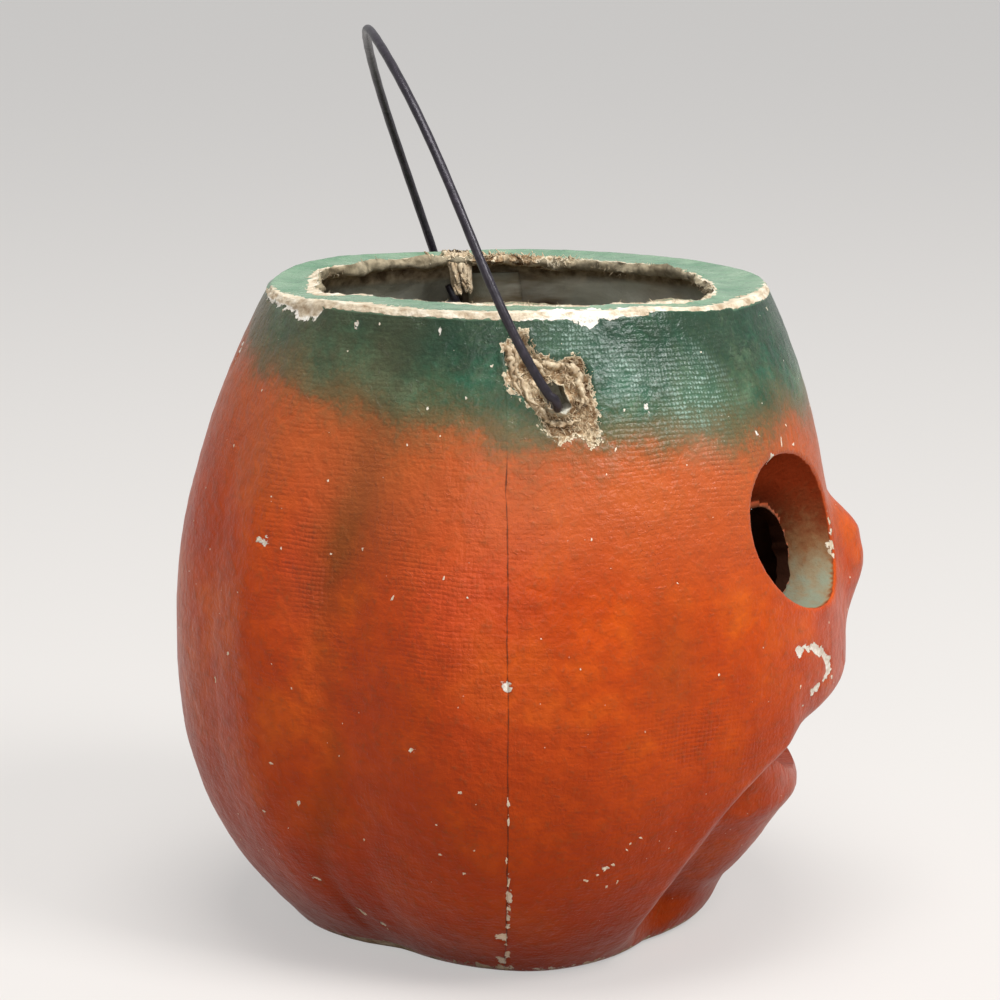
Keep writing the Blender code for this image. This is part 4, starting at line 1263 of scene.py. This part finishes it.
def far_tatters():
    """Torn pulp that hangs from the rim's far edge, where the seam strip has come away."""
    pile = Pile()
    for _ in range(700):
        angle = spread(-116, -66)
        if rng.random() > 0.15 + 0.85 * float(swell(angle, -91, 12)):
            continue
        out = outwards(angle)
        place, _ = on_top(angle, float(mouth_edge(angle)) + spread(-0.4, 3.6))
        if place is None or place.z < 114:
            continue
        along = Vector((out.y, -out.x, 0)) * spread(-1, 1)
        lead = -out * spread(0, 0.8) + along + up(spread(-0.6, 0.1))
        path = curly(place, lead, up(-0.4), spread(0.5, 1.6), 0.9, 6)
        pile.strand(path, spread(0.10, 0.25), spread(0.2, 0.7))
    for i in range(24):
        offset, end_z = spread(-1.8, 3.8), spread(112.4, 115.6)
        path = [(43.8 - spread(0, 3), 10.4, 118.5), (39.6, 10.2, 118.9), (37.2, 9.9, 118.8)]
        path += [(35.6, 9.7, 118), (35, 9.4, 116.6), (34.9, 9.1, end_z)]
        for k, place in enumerate(path):
            aside = spread(-0.35, 0.35), offset * (1 - 0.07 * k) + spread(-0.2, 0.2), spread(-0.15, 0.15)
            path[k] = Vector(place) + Vector(aside)
        end, bend = path[-1], spread(0.5, 0.95)
        for k in range(1, 7):
            t = k / 6 * spread(1, 1.3) * math.pi
            curled = (-bend * (1 - math.cos(t)) * 0.5, -0.3 * math.sin(t), -bend * math.sin(t) - 0.1 * k)
            path.append(end + Vector(curled))
        thick, wide = spread(0.15, 0.3), spread(0.6, 1.4)
        pile.strand(path, thick, wide, Vector((0.2, spread(-0.3, 0.4), 1)).cross(Vector((0, 1, 0))))
    return pile


def strip(name, column, width, seed):
    """A ragged pulp strip, `column(along, across)` giving the wall's place and its inward normal."""
    rows, across = 90, 14
    top, low = [], []
    for i in range(rows + 1):
        for j in range(across + 1):
            t, c = i / rows, 2 * j / across - 1
            mark = np.array([9 * t, 3 * math.copysign(1, c), seed])
            half = width * (0.5 + 0.10 * float(noise(mark, 0.6, 111)) + 0.07 * float(noise(mark, 0.15, 112)))
            place, inward = column(t, c * half)
            spot = np.array(place)
            crumple = 0.12 * float(noise(spot, 2, 113)) + 0.08 * float(noise(spot, 0.8, 114))
            top.append(place + inward * (1 - 0.5 * c**6 + crumple))
            low.append(place + inward * 0.15)
    number = np.arange((rows + 1) * (across + 1)).reshape(rows + 1, across + 1)
    count, faces = number.size, []
    for a, b, c, d in quads(number):
        faces += [(a, b, c, d), (a + count, d + count, c + count, b + count)]
    rim = list(number[0, :]) + list(number[1:, -1]) + list(number[-1, -2::-1]) + list(number[-2:0:-1, 0])
    faces += [(a, a + count, b + count, b) for a, b in zip(rim, rim[1:] + rim[:1])]
    return new_mesh(name, [tuple(v) for v in top + low], faces, look=paint, is_smooth=True)


def wall_column(start, step, inward, seam_gap=0.1):
    """Places along a seam: from a start by a step, looking against the inward direction."""
    def column(t, across):
        across = across if abs(across) > seam_gap else seam_gap
        place, _ = hit(start + step * t + Vector((0, SEAM_OFFSET + across, 0)), -inward)
        return place, inward
    return column


STRIP_WIDTH, SEAM_FOOT, SEAM_LENGTH = 10, up(8), up(106.5)
LEFT, RIGHT = Vector((-1, 0, 0)), Vector((1, 0, 0))
for name, node, slot, column, seed in (
    ("left_pulp_strip", "seam_strip_left", "left_strip_pulp", (SEAM_FOOT, SEAM_LENGTH, RIGHT), 1),
    ("right_pulp_strip", "seam_strip_right", "right_strip_pulp", (SEAM_FOOT, SEAM_LENGTH, LEFT), 2),
    ("base_pulp_strip", "seam_strip_base", "base_strip_pulp", (up(60) - 44 * RIGHT, 88 * RIGHT, up(1)), 3),
):
    piece = strip(name, wall_column(*column), STRIP_WIDTH, seed)
    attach(piece, "lantern")
    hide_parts(node)

weathering = [
    flecks.make("paint_flecks", gesso_look, is_smooth=False),
    torn_fringe().make("rim_fringe", tan_look),
    rags.make("hole_fibres", tan_look),
    far_tatters().make("far_rim_tatters", tan_look),
]
for piece, slot in ((front_half, "front_paint"), (back_half, "back_paint")):
    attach(piece, "lantern")
for piece in weathering:
    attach(piece, "lantern")
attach(wire, "bail")
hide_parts("front_shell")
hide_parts("back_shell")
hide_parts("bail_wire")


# Stage: a pale floor under a pale world, soft light and the camera
def seen(look):
    """1 for what the camera, mirrors and glass show, 0 for what lights the object."""
    path = look.tree.nodes.new("ShaderNodeLightPath").outputs
    camera, glossy, clear = (
        Value(look, path[key]) for key in ("Is Camera Ray", "Is Glossy Ray", "Is Transmission Ray")
    )
    return look.math("MAXIMUM", look.math("MAXIMUM", camera, glossy), clear)


def stage():
    look = Look(bpy.data.materials.new("pale_floor"))
    colour = look.mix(seen(look), (0.34, 0.23, 0.14), (0.32, 0.30, 0.28))
    look.finish(
        Base_Color=colour, Roughness=0.8, Emission_Color=(0.80, 0.79, 0.78), Emission_Strength=seen(look) * 0.56
    )
    mesh = bpy.data.meshes.new("floor")
    mesh.from_pydata([(-4, -4, 0), (4, -4, 0), (4, 4, 0), (-4, 4, 0)], [], [(0, 1, 2, 3)])
    mesh.materials.append(look.owner)
    floor = add_object("floor", mesh)
    world = bpy.data.worlds.new("soft_world")
    bpy.context.scene.world = world
    sky = Look(world, "Background")
    sky.finish(Color=(1, 1, 1), Strength=seen(sky) * 0.22 + 0.26)


def lamp(name, place, target, size, watts):
    data = bpy.data.lights.new(name, "AREA")
    data.shape = "RECTANGLE"
    data.size = data.size_y = size
    data.energy = watts
    made = add_object(name, data)
    made.location = place
    made.rotation_euler = (Vector(target) - Vector(place)).to_track_quat("-Z", "Y").to_euler()


def camera():
    """The photograph's camera, as it was fitted to the rim, the base and the outlines."""
    distance, height, pitch = 0.640, 0.209434, math.radians(11.583)
    shift, yaw = math.radians(-1.5), math.radians(0.296)
    data = bpy.data.cameras.new("camera")
    data.sensor_width = 36
    data.lens = 3548.731 / 1000 * data.sensor_width
    data.clip_start = 0.05
    made = add_object("camera", data)
    made.location = (-distance * math.cos(shift), -distance * math.sin(shift), height)
    made.rotation_euler = (math.pi / 2 - pitch, 0, shift + yaw - math.pi / 2)
    bpy.context.scene.camera = made


stage()
lamp("key", (-0.55, -0.70, 0.95), (0, 0, 0.06), 0.45, 10.5)
lamp("overhead", (-0.20, 0, 1.10), (0, 0, 0.05), 0.6, 9.5)
lamp("fill", (-1.10, 0.10, 0.45), (0, 0, 0.10), 0.3, 2)
camera()
bpy.context.scene.view_settings.view_transform = "Standard"
